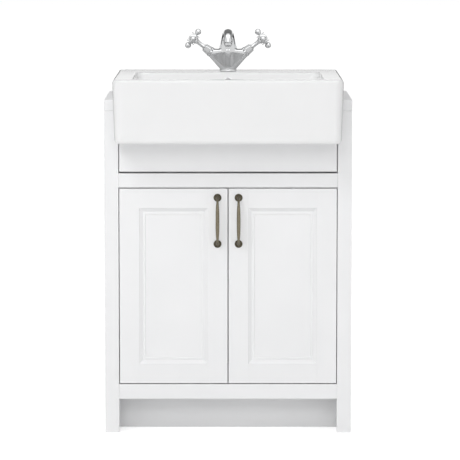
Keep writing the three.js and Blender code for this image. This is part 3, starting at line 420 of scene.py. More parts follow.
# %% Drilled side panels
FACE_Y = node_box("left_front_leg")[0].y
PIN_PITCH, PIN_STEPS = 64, (-1, 0, 1)
HOLE_RADIUS, HOLE_DEPTH, OVERRUN, LONG_EDGE = 2.8, 10.3, 5, 15
for side, sign in SIDES:
    name = side + "_side_panel"
    low, high = node_box(name)
    inner = high.x if sign < 0 else low.x
    drills = []
    for row in ("front", "back"):
        pin_low, pin_high = node_box(f"{side}_shelf_pin_{row}")
        pin = (pin_low + pin_high) / 2
        for step in PIN_STEPS:
            z = pin.z + step * PIN_PITCH
            drills.append(rod_mesh((inner + sign * HOLE_DEPTH, pin.y, z),
                                   (inner - sign * OVERRUN, pin.y, z), HOLE_RADIUS, 16))
    panel = carve(box_mesh(low, high), *drills)
    outline = [edge for edge in sharp_edges(panel) if edge.calc_length() > LONG_EDGE]
    round_edges(panel, outline, EDGE, 3)
    finish_piece(panel, name + "_board", name, paint_upright)
print("side panels drilled at", [round(pin.z + step * PIN_PITCH, 1) for step in PIN_STEPS])

# %% Sawn boards
BOWL_CUT, BOWL_CUT_BACK = 248, 131
TAP_CUT, TAP_CUT_FRONT, TAP_CUT_BACK = 65, 120, 200
SAW_LOW, SAW_HIGH, SAW_FRONT = 790, 840, FACE_Y - 9
PIPE_NEAR, PIPE_FAR, PIPE_LOW, PIPE_HIGH = 35, 165, 250, 550
U_LOW, U_HIGH, U_BACK, U_RADIUS = 732, 810, FACE_Y + 29, 40
BACK_Y = node_box("back_panel")[1].y


def sawn(name, cutters, material, edge=EDGE):
    """A board with openings sawn into it and its edges softened."""
    low, high = node_box(name)
    piece = carve(box_mesh(low, high), *cutters)
    bmesh.ops.dissolve_limit(piece, angle_limit=math.radians(0.5), verts=piece.verts,
                             edges=piece.edges)
    round_edges(piece, sharp_edges(piece, 60), edge, 3)
    return finish_piece(piece, name + "_board", name, material)


pipe_cuts = []
for _, sign in SIDES:
    start, end = sorted((sign * PIPE_NEAR, sign * PIPE_FAR))
    pipe_cuts.append(box_mesh((start, BACK_Y - 20, PIPE_LOW), (end, BACK_Y + 20, PIPE_HIGH)))
sawn("back_panel", pipe_cuts, paint_upright)
sawn("worktop", [box_mesh((-BOWL_CUT, SAW_FRONT, SAW_LOW), (BOWL_CUT, BOWL_CUT_BACK, SAW_HIGH)),
                 box_mesh((-TAP_CUT, TAP_CUT_FRONT, SAW_LOW), (TAP_CUT, TAP_CUT_BACK, SAW_HIGH))],
     paint_across, 2)
u_cut = box_mesh((-BOWL_CUT, SAW_FRONT, U_LOW), (BOWL_CUT, U_BACK, U_HIGH))
lower_corners = [edge for edge in u_cut.edges
                 if max(vert.co.z for vert in edge.verts) < U_LOW + 1
                 and abs(edge.verts[0].co.y - edge.verts[1].co.y) > 1]
round_edges(u_cut, lower_corners, U_RADIUS, 12)
sawn("fascia_panel", [u_cut], paint_across, 2)
print("back panel, worktop and fascia sawn")

# %% [markdown]
# ## Door frames
# Each door is two stiles and two rails round a loose panel, with a small moulding along the inner
# edge that is mitred in the corners. The moulding draws the fine lines round each panel, so its
# section is followed closely: a quirk, a rounded slope, a groove and a flat lip on the panel.
# Extruding that section and bisecting it at 45 degrees at both ends is how a joiner works too, and
# it closes every corner.

# %% Moulding
SETBACK = 2.5
MOULD_WIDTH = 10 + SETBACK
MOULD_DEPTH = 8
LIP = 3.5
GROOVE = 7
PANEL_BACK = 16
DOOR_THICK = 20
FINE_EDGE = 0.4


def moulding(length):
    """A mitred strip along X. Its Y goes to the panel and its Z goes back from the face."""
    mesh = bmesh.new()
    section = [(0, 0), (0.5, 1.3), (3.2, 3.4), (5.2, 4.2), (8.4, 6.8), (9.4, 7), (10, 5.9),
               (14.4, 5.4), (15.2, 5.9), (MOULD_WIDTH + LIP, MOULD_DEPTH),
               (MOULD_WIDTH - GROOVE, MOULD_DEPTH), (MOULD_WIDTH - GROOVE, PANEL_BACK),
               (MOULD_WIDTH, PANEL_BACK), (MOULD_WIDTH, DOOR_THICK), (0, DOOR_THICK)]
    face = mesh.faces.new([mesh.verts.new((0, inward, back)) for inward, back in section])
    grown = bmesh.ops.extrude_face_region(mesh, geom=[face])
    far_end = [item for item in grown["geom"] if isinstance(item, bmesh.types.BMVert)]
    bmesh.ops.translate(mesh, verts=far_end, vec=(length, 0, 0))
    for x, way in ((0, -1), (length, 1)):
        bmesh.ops.bisect_plane(mesh, geom=mesh.verts[:] + mesh.edges[:] + mesh.faces[:],
                               plane_co=(x, 0, 0), plane_no=(way, 1, 0), clear_outer=True)
        fill_ends(mesh)
    return mesh


def add_copy(mesh, other, matrix):
    """Adds another mesh to this one at a place, and frees it."""
    bmesh.ops.transform(other, matrix=matrix, verts=other.verts)
    data = bpy.data.meshes.new("copy")
    other.to_mesh(data)
    other.free()
    mesh.from_mesh(data)
    bpy.data.meshes.remove(data)

# %% Stiles and rails
OPEN_LOW = node_box("left_door_bottom_rail")[1].z - MOULD_WIDTH
OPEN_HIGH = node_box("left_door_top_rail")[0].z + MOULD_WIDTH
CUP_X = 245.5
CUP_LEVELS = {"lower": 209.5, "upper": 524.5}
CUP_HOLE_RADIUS, CUP_HOLE_DEPTH = 17.8, 12.3
DOOR_BACK = FACE_Y + DOOR_THICK


def door_member(name, inward):
    """A door member's flat board with its moulded edge, which faces the panel."""
    low, high = node_box(name)
    across = 0 if inward.x else 2
    along = 2 - across
    if across == 2:
        low.x -= SETBACK
        high.x += SETBACK
    edge_at = (high[across] if inward[across] > 0 else low[across]) - inward[across] * MOULD_WIDTH
    if inward[across] > 0:
        high[across] = edge_at
    else:
        low[across] = edge_at
    mesh = box_mesh(low, high)
    free = [edge for edge in mesh.edges
            if any(abs(vert.co[across] - edge_at) > 0.1 for vert in edge.verts)]
    round_edges(mesh, free, FINE_EDGE, 2)
    start, end = (OPEN_LOW, OPEN_HIGH) if along == 2 else (low.x, high.x)
    corner = Vector((0, FACE_Y, 0))
    corner[across], corner[along] = edge_at, start
    run = Vector((0, 0, 0))
    run[along] = 1
    turn = Matrix((run, inward, (0, 1, 0))).transposed().to_4x4()
    add_copy(mesh, moulding(end - start), Matrix.Translation(corner) @ turn)
    return mesh


for side, sign in SIDES:
    inward_of = {"hinge_stile": Vector((-sign, 0, 0)), "lock_stile": Vector((sign, 0, 0)),
                 "top_rail": Vector((0, 0, -1)), "bottom_rail": Vector((0, 0, 1))}
    for part, inward in inward_of.items():
        name = f"{side}_door_{part}"
        mesh = door_member(name, inward)
        if part == "hinge_stile":
            mesh = carve(mesh, *[rod_mesh((sign * CUP_X, DOOR_BACK - CUP_HOLE_DEPTH, z),
                                          (sign * CUP_X, DOOR_BACK + OVERRUN, z),
                                          CUP_HOLE_RADIUS, 48) for z in CUP_LEVELS.values()])
        finish_piece(mesh, name + "_wood", name, paint_upright if inward.x else paint_across)
print("door opening", OPEN_LOW, "to", OPEN_HIGH)

# %% [markdown]
# ## Basin
# The basin is one casting in glazed ceramic: a deep apron, a hollow deck, a bowl with a wide curve
# to its floor, and a duct that takes the overflow down to the waste. Such a casting has no sharp
# edge. Rounded rings bridged into a skin give its outside and its bowl an exact curve everywhere,
# where a subdivided cage would be hard to keep to size. Booleans then put the parts together.

# %% Rings and skins
CORNER_STEPS, KEEP_APART = 10, 0.999


def ring_face(mesh, low_x, high_x, low_y, high_y, z, front, back):
    """A flat face with four rounded corners, which stop just short of each other."""
    corners = [mesh.verts.new(place) for place in
               ((low_x, low_y, z), (high_x, low_y, z), (high_x, high_y, z), (low_x, high_y, z))]
    mesh.faces.new(corners)
    for pair, radius in ((corners[:2], front), (corners[2:], back)):
        bmesh.ops.bevel(mesh, geom=pair, offset=radius * KEEP_APART, segments=CORNER_STEPS,
                        profile=0.5, affect="VERTICES", material=-1)
    mesh.faces.ensure_lookup_table()
    return mesh.faces[-1]


def skin(rings):
    """Bridges rounded rings, from the lowest to the highest, into one closed body."""
    mesh = bmesh.new()
    loops = []
    for index, ring in enumerate(rings):
        part = bmesh.new()
        ring_face(part, *ring)
        add_copy(mesh, part, Matrix.Identity(4))
        mesh.faces.ensure_lookup_table()
        face = mesh.faces[-1]
        loops.append(face.edges[:])
        if 0 < index < len(rings) - 1:
            bmesh.ops.delete(mesh, geom=[face], context="FACES_ONLY")
    for lower, upper in zip(loops, loops[1:]):
        bmesh.ops.bridge_loops(mesh, edges=lower + upper)
    bmesh.ops.recalc_face_normals(mesh, faces=mesh.faces)
    return mesh


def quarter(steps=10):
    """Angles from nothing to a quarter turn."""
    return [math.pi / 2 * step / steps for step in range(steps + 1)]


def circle_ring(radius, y, z):
    return (-radius, radius, y - radius, y + radius, z, radius, radius)

# %% Basin outside
BASIN_LOW, BASIN_HIGH = node_box("basin")
HALF_BASIN = BASIN_HIGH.x
APRON_LOW, RIM = 728, BASIN_HIGH.z
WALL, RIM_ROUND, EDGE_ROUND = 12, 7.5, 10
FRONT_CORNER, BACK_CORNER, DRAFT = 22, 10, 5
HOLLOW_LOW, HOLLOW_HIGH, RECESS_HIGH = 744, 870, 829


def apron_inset(z):
    """The apron leans in by this much at a height below its rounded rim."""
    start = RIM - RIM_ROUND
    return DRAFT * max(start - z, 0) / (start - APRON_LOW)


def basin_ring(inset, z, back_inset=0):
    return (-HALF_BASIN + inset, HALF_BASIN - inset, BASIN_LOW.y + inset,
            BASIN_HIGH.y - back_inset, z, max(FRONT_CORNER - inset, WALL), BACK_CORNER)


outside_rings = []
for turn in quarter():
    z = APRON_LOW + EDGE_ROUND * (1 - math.cos(turn))
    outside_rings.append(basin_ring(apron_inset(z) + EDGE_ROUND * (1 - math.sin(turn)), z))
for turn in quarter():
    z = RIM - RIM_ROUND * (1 - math.sin(turn))
    draw = RIM_ROUND * (1 - math.cos(turn))
    outside_rings.append(basin_ring(apron_inset(z) + draw, z, draw))
basin_outside = skin(outside_rings)
basin_hollow = skin([basin_ring(apron_inset(z) + WALL, z, WALL)
                     for z in (HOLLOW_LOW, HOLLOW_HIGH)])
recess = box_mesh((-300, FACE_Y - 2, 700), (300, 250, RECESS_HIGH))
print("basin outside", len(basin_outside.verts), "points")

# %% Bowl
BOWL_FLOOR, FILLET_TOP, FLOOR_ROUND, LEAN = 754, 810, 48, 26
BOWL_HALF, BOWL_FRONT, BOWL_BACK = 232, -198, 95
BOWL_CORNER, CORNER_GROWTH, ROLL = 20, 0.6, 5
WASTE_Y, WASTE_SEAT, WASTE_RECESS = -51.5, 32.3, 3
BOSS_RADIUS, BOSS_LOW, DECK_OVERLAP = 38, 736, 7


def bowl_ring(inset, z):
    radius = BOWL_CORNER + CORNER_GROWTH * max(inset, 0)
    return (-BOWL_HALF + inset, BOWL_HALF - inset, BOWL_FRONT + inset, BOWL_BACK - inset, z,
            radius, radius)


def wall_inset(z):
    """The bowl's wall leans in by this much at a height above its floor's curve."""
    return LEAN * (RIM - z) / (RIM - FILLET_TOP)


def floor_curve(allowance):
    """The rings of the floor's curve, from low to high, with an allowance for the wall."""
    radius = FLOOR_ROUND + allowance
    return [bowl_ring(LEAN + FLOOR_ROUND - radius * math.cos(turn),
                      FILLET_TOP - radius * math.sin(turn)) for turn in reversed(quarter())]


rolled_edge = []
for turn in reversed(quarter()):
    z = RIM - ROLL * (1 - math.cos(turn))
    rolled_edge.append(bowl_ring(wall_inset(z) - ROLL * (1 - math.sin(turn)), z))
bowl_inside = skin([circle_ring(WASTE_SEAT, WASTE_Y, BOWL_FLOOR - WASTE_RECESS),
                    circle_ring(WASTE_SEAT, WASTE_Y, BOWL_FLOOR),
                    *floor_curve(0), *rolled_edge, bowl_ring(-ROLL, RIM + ROLL)])
bowl_outside = skin([circle_ring(BOSS_RADIUS, WASTE_Y, BOSS_LOW), *floor_curve(WALL),
                     bowl_ring(wall_inset(HOLLOW_HIGH) - WALL, HOLLOW_HIGH + DECK_OVERLAP)])
print("bowl", len(bowl_inside.verts), "points")

# %% Overflow duct
DUCT_WAY, DUCT_TOP = WALL + 4, 860
DUCT_OUTSIDE, DUCT_BORE = (23.6, 20, 6), (17, 8, 0)


def duct(half_width, thickness, extra):
    """A flat duct of even thickness down behind the bowl and under its floor to the waste. Its
    top end is longer by the extra."""
    line = [Vector((BOWL_BACK + DUCT_WAY, DUCT_TOP)),
            Vector((BOWL_BACK - LEAN + DUCT_WAY, FILLET_TOP))]
    line[0] += (line[0] - line[1]).normalized() * extra
    for turn in quarter()[1:]:
        radius = FLOOR_ROUND + DUCT_WAY
        line.append((BOWL_BACK - LEAN - FLOOR_ROUND + radius * math.cos(turn),
                     FILLET_TOP - radius * math.sin(turn)))
    line.append((WASTE_Y, FILLET_TOP - FLOOR_ROUND - DUCT_WAY))
    ribbon = bmesh.new()
    points = [ribbon.verts.new((-half_width, y, z)) for y, z in line]
    edges = [ribbon.edges.new(pair) for pair in zip(points, points[1:])]
    grown = bmesh.ops.extrude_edge_only(ribbon, edges=edges)
    far_side = [item for item in grown["geom"] if isinstance(item, bmesh.types.BMVert)]
    bmesh.ops.translate(ribbon, verts=far_side, vec=(2 * half_width, 0, 0))
    slab = linked_object(ribbon, "duct")
    wall = slab.modifiers.new("wall", "SOLIDIFY")
    wall.thickness = thickness
    wall.offset = 0
    wall.use_even_offset = True
    return as_mesh(slab)


wall_tilt = math.atan(LEAN / (RIM - FILLET_TOP))
OVERFLOW_DROP, OVERFLOW_RADIUS, OVERFLOW_DEPTH = 25, 7, 16
OVERFLOW_Z = RIM - OVERFLOW_DROP
overflow_face = Matrix.Translation((0, BOWL_BACK - wall_inset(OVERFLOW_Z), OVERFLOW_Z)) @ \
    Matrix.Rotation(math.pi / 2 - wall_tilt, 4, "X")
overflow_hole = rod_mesh((0, 0, -OVERFLOW_DEPTH), (0, 0, OVERRUN), OVERFLOW_RADIUS, 32)
bmesh.ops.transform(overflow_hole, matrix=overflow_face, verts=overflow_hole.verts)
print("overflow leans", round(math.degrees(wall_tilt), 1), "degrees")

# %% Basin put together
TAP_Y, TAP_HOLE, WASTE_HOLE = 155, 17.5, 23
bowl_and_shell = combine(basin_outside, ("DIFFERENCE", basin_hollow), ("DIFFERENCE", recess))
basin_mesh = combine(bowl_and_shell, ("UNION", bowl_outside), ("DIFFERENCE", bowl_inside))
basin_mesh = combine(basin_mesh, ("UNION", duct(*DUCT_OUTSIDE)), ("DIFFERENCE", duct(*DUCT_BORE)))
basin_mesh = carve(basin_mesh, overflow_hole,
                   rod_mesh((0, WASTE_Y, 730), (0, WASTE_Y, BOWL_FLOOR), WASTE_HOLE, 48),
                   rod_mesh((0, TAP_Y, HOLLOW_HIGH - OVERRUN), (0, TAP_Y, RIM + OVERRUN),
                            TAP_HOLE, 48))
print("open edges", sum(not edge.is_manifold for edge in basin_mesh.edges),
      "volume", round(basin_mesh.calc_volume() / 1000), "ml")
finish_piece(basin_mesh, "basin_casting", "basin", basin_glaze, 40)

# %% [markdown]
# ## Waste and overflow ring
# Turned parts such as the waste, its plug and the overflow ring start as half a section, which is
# spun about its axis and closed at the poles. The waste's sharp rings are bevelled after the spin,
# so its section itself stays short.

# %% Turned pieces
def turned(profile, sides=48):
    """Spins a section of (radius, height) points about Z."""
    mesh = bmesh.new()
    points = [mesh.verts.new((radius, 0, height)) for radius, height in profile]
    edges = [mesh.edges.new(pair) for pair in zip(points, points[1:])]
    bmesh.ops.spin(mesh, geom=points + edges, cent=(0, 0, 0), axis=(0, 0, 1),
                   angle=math.tau, steps=sides, use_merge=True)
    bmesh.ops.remove_doubles(mesh, verts=mesh.verts, dist=MERGE)
    return mesh


def soften(mesh, radius, segments=3, degrees=40):
    bmesh.ops.recalc_face_normals(mesh, faces=mesh.faces)
    round_edges(mesh, sharp_edges(mesh, degrees), radius, segments)
    return mesh


def arc(centre_radius, centre_height, radius, start, end, steps=8):
    """Points on an arc of a section, from one angle to another in degrees."""
    turns = [math.radians(start + (end - start) * step / steps) for step in range(steps + 1)]
    return [(centre_radius + radius * math.cos(turn), centre_height + radius * math.sin(turn))
            for turn in turns]


def moved(mesh, matrix):
    bmesh.ops.transform(mesh, matrix=matrix, verts=mesh.verts)
    return mesh

# %% Waste, plug and overflow ring
waste_place = Matrix.Translation((0, WASTE_Y, BOWL_FLOOR))
body = soften(turned([(19.5, -82), (22, -82), (22, -3), (32, -3), (32, -1.5), (29.5, 0), (22, 0),
                      (19.5, -2.5), (19.5, -82)], 64), 0.5)
slot = box_mesh((-10, -30, -16), (10, 30, -6.5))
body = carve(body, slot)
add_copy(body, soften(turned([(5.3, -40), (9, -40), (9, -26), (5.3, -26), (5.3, -40)], 32), 0.4),
         Matrix.Identity(4))
for turn in range(3):
    web = box_mesh((8.6, -1.5, -40), (20.4, 1.5, -26))
    add_copy(body, web, Matrix.Rotation(math.tau * (turn + 1) / 3, 4, "Z"))
finish_piece(moved(body, waste_place), "waste_fitting", "waste_body", tap_chrome)

plug = turned([(0, -43.7), (5, -43.7), (5, 0.3), (29.4, 0.3), *arc(28.4, 1.4, 1.6, -40, 60, 6),
               *arc(0, -62.4, 70.2, 68, 90, 10)], 64)
finish_piece(moved(plug, waste_place), "waste_plug_cap", "waste_plug", tap_chrome)

ring = turned([(5.45, -6), (6.7, -6), (6.7, 0.3), (12.2, 0.3), *arc(11.1, 1.6, 1.4, -50, 90, 6),
               (9.6, 2.7), (5.45, 0.2), (5.45, -6)], 48)
finish_piece(moved(ring, overflow_face), "overflow_rim", "overflow_ring", tap_chrome)
print("waste, plug and overflow ring turned")

# %% [markdown]
# ## Tap body
# The tap is a traditional one-hole mixer. Its body is one chromed casting, in which the base, two
# shoulders and the spout flow into each other. Separate tubes would show hard seams, and a cage for
# subdivision would need many hand-placed points. So the rough forms are put together, remeshed into
# one skin and smoothed, which works a fillet into every junction as a caster's filler does.

# %% Spout
TAP_PLACE = Matrix.Translation((0, TAP_Y, RIM))
ARM_RISE, ARM_ANGLE = 15.5, 37
ARM_PLACE = {side: Matrix.Translation((0, 0, ARM_RISE))
             @ Matrix.Rotation(sign * math.radians(90 - ARM_ANGLE), 4, "Y") for side, sign in SIDES}


def bezier(start, knee, end, share):
    return start * (1 - share) ** 2 + knee * 2 * share * (1 - share) + end * share ** 2


def between(values, share):
    """A value read from a list spread evenly over the shares from 0 to 1."""
    place = share * (len(values) - 1)
    index = min(int(place), len(values) - 2)
    return values[index] + (values[index + 1] - values[index]) * (place - index)


def swept(path, half_width, half_depth, steps, sides):
    """A closed bar along a path in the YZ plane. Its halves are lists read along the path."""
    mesh = bmesh.new()
    loops = []
    for step in range(steps + 1):
        share = step / steps
        centre = path(share)
        way = (path(min(share + 0.001, 1)) - path(max(share - 0.001, 0))).normalized()
        across = way.cross(Vector((1, 0, 0)))
        turn = Matrix(((1, 0, 0), across, way)).transposed().to_4x4()
        size = Matrix.Diagonal((between(half_width, share), between(half_depth, share), 1, 1))
        ring = bmesh.ops.create_circle(mesh, segments=sides, radius=1,
                                       matrix=Matrix.Translation(centre) @ turn @ size)
        loops.append({edge for vert in ring["verts"] for edge in vert.link_edges})
    for first, second in zip(loops, loops[1:]):
        bmesh.ops.bridge_loops(mesh, edges=list(first | second))
    fill_ends(mesh)
    return mesh


REACH, SPOUT_ROOT, CROWN_HIGH, SPOUT_END = 100, 31, 99, 76
ROOT_HALF, END_HALF_WIDTH, END_HALF_DEPTH = 22, 10, 9


def spout_line(share):
    crown = Vector((0, -REACH / 2, CROWN_HIGH))
    if share < 0.5:
        return bezier(Vector((0, 0, SPOUT_ROOT)), Vector((0, 0, CROWN_HIGH)), crown, share * 2)
    return bezier(crown, Vector((0, -REACH, CROWN_HIGH)), Vector((0, -REACH, SPOUT_END)),
                  share * 2 - 1)


def taper(shares, root, tip):
    return [root + (tip - root) * share for share in shares]


width_shares = [0, 0, 0.42, 0.67, 0.75, 0.83, 0.92, 1, 1]
depth_shares = [0, 0.15, 0.54, 0.77, 0.92, 1, 1, 0.92, 0.92]
spout = swept(spout_line, taper(width_shares, ROOT_HALF, END_HALF_WIDTH),
              taper(depth_shares, ROOT_HALF, END_HALF_DEPTH), 40, 40)
print("spout", len(spout.verts), "points")

# %% Shoulders and casting
CORE_LOW, CORE_HIGH, CORE_FOOT, CORE_HEAD = 4.5, 54, 20, 23.5
ARM_START, ARM_END, ARM_RADIUS, ROUND_SIDES = 50, 54, 11.5, 120
VOXEL, SMOOTHING_ROUNDS = 0.9, 30


def shoulder(side):
    """The skin stretched over the core and the end of one arm."""
    cloud = rod_mesh((0, 0, CORE_LOW), (0, 0, CORE_HIGH), CORE_FOOT, ROUND_SIDES, CORE_HEAD)
    add_copy(cloud, rod_mesh((0, 0, ARM_START), (0, 0, ARM_END), ARM_RADIUS, ROUND_SIDES),
             ARM_PLACE[side])
    bmesh.ops.delete(cloud, geom=cloud.faces[:] + cloud.edges[:], context="EDGES_FACES")
    bmesh.ops.convex_hull(cloud, input=cloud.verts)
    bmesh.ops.delete(cloud, geom=[vert for vert in cloud.verts if not vert.link_faces],
                     context="VERTS")
    bmesh.ops.recalc_face_normals(cloud, faces=cloud.faces)
    return cloud


rough = turned([(0, 1), (19.8, 1), (22.4, 28), (23.5, 54), (19, 59), (10, 62), (0, 62)], 96)
for part in (spout, shoulder("left"), shoulder("right")):
    bmesh.ops.recalc_face_normals(part, faces=part.faces)
    add_copy(rough, part, Matrix.Identity(4))
cast = linked_object(rough, "casting")
remesh = cast.modifiers.new("one_skin", "REMESH")
remesh.mode = "VOXEL"
remesh.voxel_size = VOXEL
casting = as_mesh(cast)
for _ in range(SMOOTHING_ROUNDS):
    bmesh.ops.smooth_vert(casting, verts=casting.verts, factor=0.5, use_axis_x=True,
                          use_axis_y=True, use_axis_z=True)
print("casting", len(casting.faces), "faces")

# %% Base, arm rings and finish of the body
base = soften(turned([(0, 0.3), (21.5, 0.3), (21.5, 3.2), (20.6, 4.6), (0, 4.6)], 64), 0.5)
add_copy(casting, base, Matrix.Identity(4))
for side, _ in SIDES:
    arm_ring = soften(turned([(0, 52), (12.7, 52), (12.7, 58), (0, 58)], 48), 0.7, 4)
    add_copy(casting, arm_ring, ARM_PLACE[side])
finish_piece(moved(casting, TAP_PLACE), "tap_casting", "tap_body", tap_chrome, 50)

nozzle = turned([(6.7, 71), (9, 71), (9, 75.7), (7.2, 75.7), (7.2, 84), (0, 84), (0, 74.5),
                 (6.7, 74.5), (6.7, 71)], 40)
soften(nozzle, FINE_EDGE)
finish_piece(moved(nozzle, TAP_PLACE @ Matrix.Translation((0, -REACH, 0))), "tap_nozzle",
             "tap_aerator", tap_chrome)
print("tap body at", [round(value) for value in TAP_PLACE.translation])

# %% [markdown]
# ## Valve covers and cross handles
# A hexagonal cover tapers over each valve, and its flats are what a spanner grips. The handle turns
# on a thin neck: a hub with four spokes, each with a thin disc and a ball end. A spoke is turned in
# one section from its root to its ball, as it is on a lathe, and copied round the hub.

# %% Covers and handles
COVER_INNER, COVER_OUTER, COVER_LENGTH, COVER_MIDDLE = 12.2, 10.4, 16.3, 66.15
SPOKE_HIGH = 111


def valve_cover():
    mesh = bmesh.new()
    place = Matrix.Translation((0, 0, COVER_MIDDLE)) @ Matrix.Rotation(math.pi / 2, 4, "Z")
    bmesh.ops.create_cone(mesh, cap_ends=True, segments=6, radius1=COVER_INNER,
                          radius2=COVER_OUTER, depth=COVER_LENGTH, matrix=place)
    return soften(mesh, 0.9, 4)


def cross_handle():
    mesh = turned([(3.8, 74.35), (7, 74.35), *arc(6.8, 75.6, 0.9, -50, 70, 5), (5.4, 77.4), (5, 80),
                   (5, 92), (5.6, 96), (7.2, 99.5), (8.6, 100.9), (8.4, 102.2), (8.4, 103),
                   *arc(8.2, 104.6, 1.6, -60, 0, 3), *arc(8.2, 117.2, 1.6, 0, 70, 5),
                   (7.4, 119.5), (7.3, 117.5), (0, 117.5), (0, 74.35), (3.8, 74.35)], 48)
    for turn in range(4):
        spoke = turned([(0, 4), (3.4, 7), (3.2, 10), *arc(10.4, 11.5, 0.9, -70, 70, 6),
                        (3.4, 13), (3.6, 14), *arc(0, 21.3, 7.6, -60, 90, 14)], 36)
        place = Matrix.Translation((0, 0, SPOKE_HIGH)) @ Matrix.Rotation(
            math.tau * turn / 4, 4, "Z") @ Matrix.Rotation(math.pi / 2, 4, "Y")
        add_copy(mesh, spoke, place)
    return mesh


for side, _ in SIDES:
    place = TAP_PLACE @ ARM_PLACE[side]
    finish_piece(moved(valve_cover(), place), side + "_hexagon_cover", side + "_valve_cover",
                 tap_chrome)
    finish_piece(moved(cross_handle(), place), side + "_cross", side + "_cross_handle", tap_chrome)
    cap = turned([(0, 117.8), (6.8, 117.8), (6.9, 119.2), *arc(0, 105.9, 16.6, 66, 90, 8)], 40)
    finish_piece(moved(cap, place), side + "_porcelain_cap", side + "_index_cap", cap_porcelain)
print("covers, cross handles and caps")

# %% [markdown]
# ## Door handles
# Each door has a cast bow handle in aged brass. Its grip swells in the middle and narrows to thin
# necks, and it ends in domed rosettes that screws hold from inside the door. Rings of changing
# width bridged along a bent line give the swell, and the rosettes are turned.

# %% Bow handles
HANDLE_X, HALF_CENTRES, STAND_OFF = 26, 57.25, 30
HANDLE_Z = (node_box("left_door_handle")[0].z + node_box("left_door_handle")[1].z) / 2
GRIP_HALVES = [5.2, 4.2, 3.4, 3.0, 2.9, 3.3, 3.9, 4.3, 4.5, 4.6,
               4.6, 4.5, 4.3, 3.9, 3.3, 2.9, 3.0, 3.4, 4.2, 5.2]


def bow_line(share):
    middle = Vector((0, -STAND_OFF, 0))
    if share < 0.5:
        return bezier(Vector((0, 0, HALF_CENTRES)), Vector((0, -STAND_OFF, HALF_CENTRES)), middle,
                      share * 2)
    return bezier(middle, Vector((0, -STAND_OFF, -HALF_CENTRES)), Vector((0, 0, -HALF_CENTRES)),
                  share * 2 - 1)


def bow_handle():
    mesh = swept(bow_line, GRIP_HALVES, GRIP_HALVES, 48, 24)
    cut = mesh.verts[:] + mesh.edges[:] + mesh.faces[:]
    bmesh.ops.bisect_plane(mesh, geom=cut, plane_co=(0, 0, 0), plane_no=(0, 1, 0),
                           clear_outer=True)
    fill_ends(mesh)
    for end in (-1, 1):
        rosette = turned([(0, 0), (9.4, 0), *arc(8.9, 0.9, 0.9, -60, 80, 5),
                          *arc(0, -6.2, 11.3, 48, 62, 4), (4.6, 4.6), *arc(4.2, 5.6, 1, -40, 90, 5),
                          (0, 6.6)], 40)
        place = Matrix.Translation((0, 0, end * HALF_CENTRES)) @ Matrix.Rotation(
            math.pi / 2, 4, "X")
        add_copy(mesh, rosette, place)
    return mesh


def screw_head():
    """A pan head with a cross-shaped recess, its face towards +Z."""
    head = turned([(0, 0), (4, 0), *arc(2.6, 0.9, 1.4, 0, 90, 6), (0, 2.3)], 28)
    slots = [box_mesh((-long, -wide, 1.2), (long, wide, 4))
             for long, wide in ((2.3, 0.45), (0.45, 2.3))]
    return carve(head, *slots)


for side, sign in SIDES:
    place = Matrix.Translation((sign * HANDLE_X, FACE_Y, HANDLE_Z))
    finish_piece(moved(bow_handle(), place), side + "_bow_handle", side + "_door_handle",
                 aged_brass, 50)
    screws = bmesh.new()
    for end in (-1, 1):
        add_copy(screws, screw_head(), place @ Matrix.Translation(
            (0, DOOR_THICK, end * HALF_CENTRES)) @ Matrix.Rotation(-math.pi / 2, 4, "X"))
    new_piece(screws, side + "_handle_screws", side + "_door", plated_steel)
print("handles at", HANDLE_Z)

# %% [markdown]
# ## Hinges and shelf pins
# Concealed hinges join each door to its packer: a cup pressed into the stile, and an arm that
# reaches into the cup and runs back to a plate. The cup is turned, and its wings and the arm's
# plate are rounded blanks with screws. The arm keeps the outline of the CAD part, because it has
# to clear the cup as the door swings.

# %% Hinges
WING_SCREW, WING_THICK, WING_CORNER = 24, 1.2, 4
PLATE_FACE, PLATE_SCREW, SCREW_FROM_BACK = 268, 17, 18


def rounded_plate(low, high, radius):
    """A flat blank whose upright corners are rounded."""
    mesh = box_mesh(low, high)
    corners = [edge for edge in mesh.edges if abs(edge.verts[0].co.z - edge.verts[1].co.z) > 0.1]
    round_edges(mesh, corners, radius, 6)
    return mesh


def hinge_cup():
    """The cup with its mouth on Z = 0 and its well going to +Z."""
    mesh = turned([(0, 12), (16.7, 12), *arc(16.7, 11.2, 0.8, 90, 0, 4), (17.5, -WING_THICK),
                   (16, -WING_THICK), (16, 10.5), (0, 10.5)], 56)
    wings = carve(rounded_plate((-11, -31, -WING_THICK), (11, 31, 0), WING_CORNER),
                  rod_mesh((0, 0, -OVERRUN), (0, 0, OVERRUN), 16.5, 56))
    add_copy(mesh, wings, Matrix.Identity(4))
    add_copy(mesh, rod_mesh((0, -16.5, 2.5), (0, 16.5, 2.5), 1.5, 20), Matrix.Identity(4))
    for end in (-1, 1):
        add_copy(mesh, screw_head(), Matrix.Translation((0, end * WING_SCREW, -WING_THICK))
                 @ Matrix.Rotation(math.pi, 4, "X") @ Matrix.Scale(0.8, 4))
    return mesh


def hinge_arm(name):
    """The arm of the CAD hinge with its edges softened."""
    mesh = bmesh.new()
    mesh.from_mesh(nodes[name].data)
    bmesh.ops.scale(mesh, verts=mesh.verts, vec=(1 / MM,) * 3)
    bmesh.ops.remove_doubles(mesh, verts=mesh.verts, dist=MERGE)
    bmesh.ops.dissolve_limit(mesh, angle_limit=math.radians(1), verts=mesh.verts, edges=mesh.edges)
    soften(mesh, 0.35, 2)
    return mesh


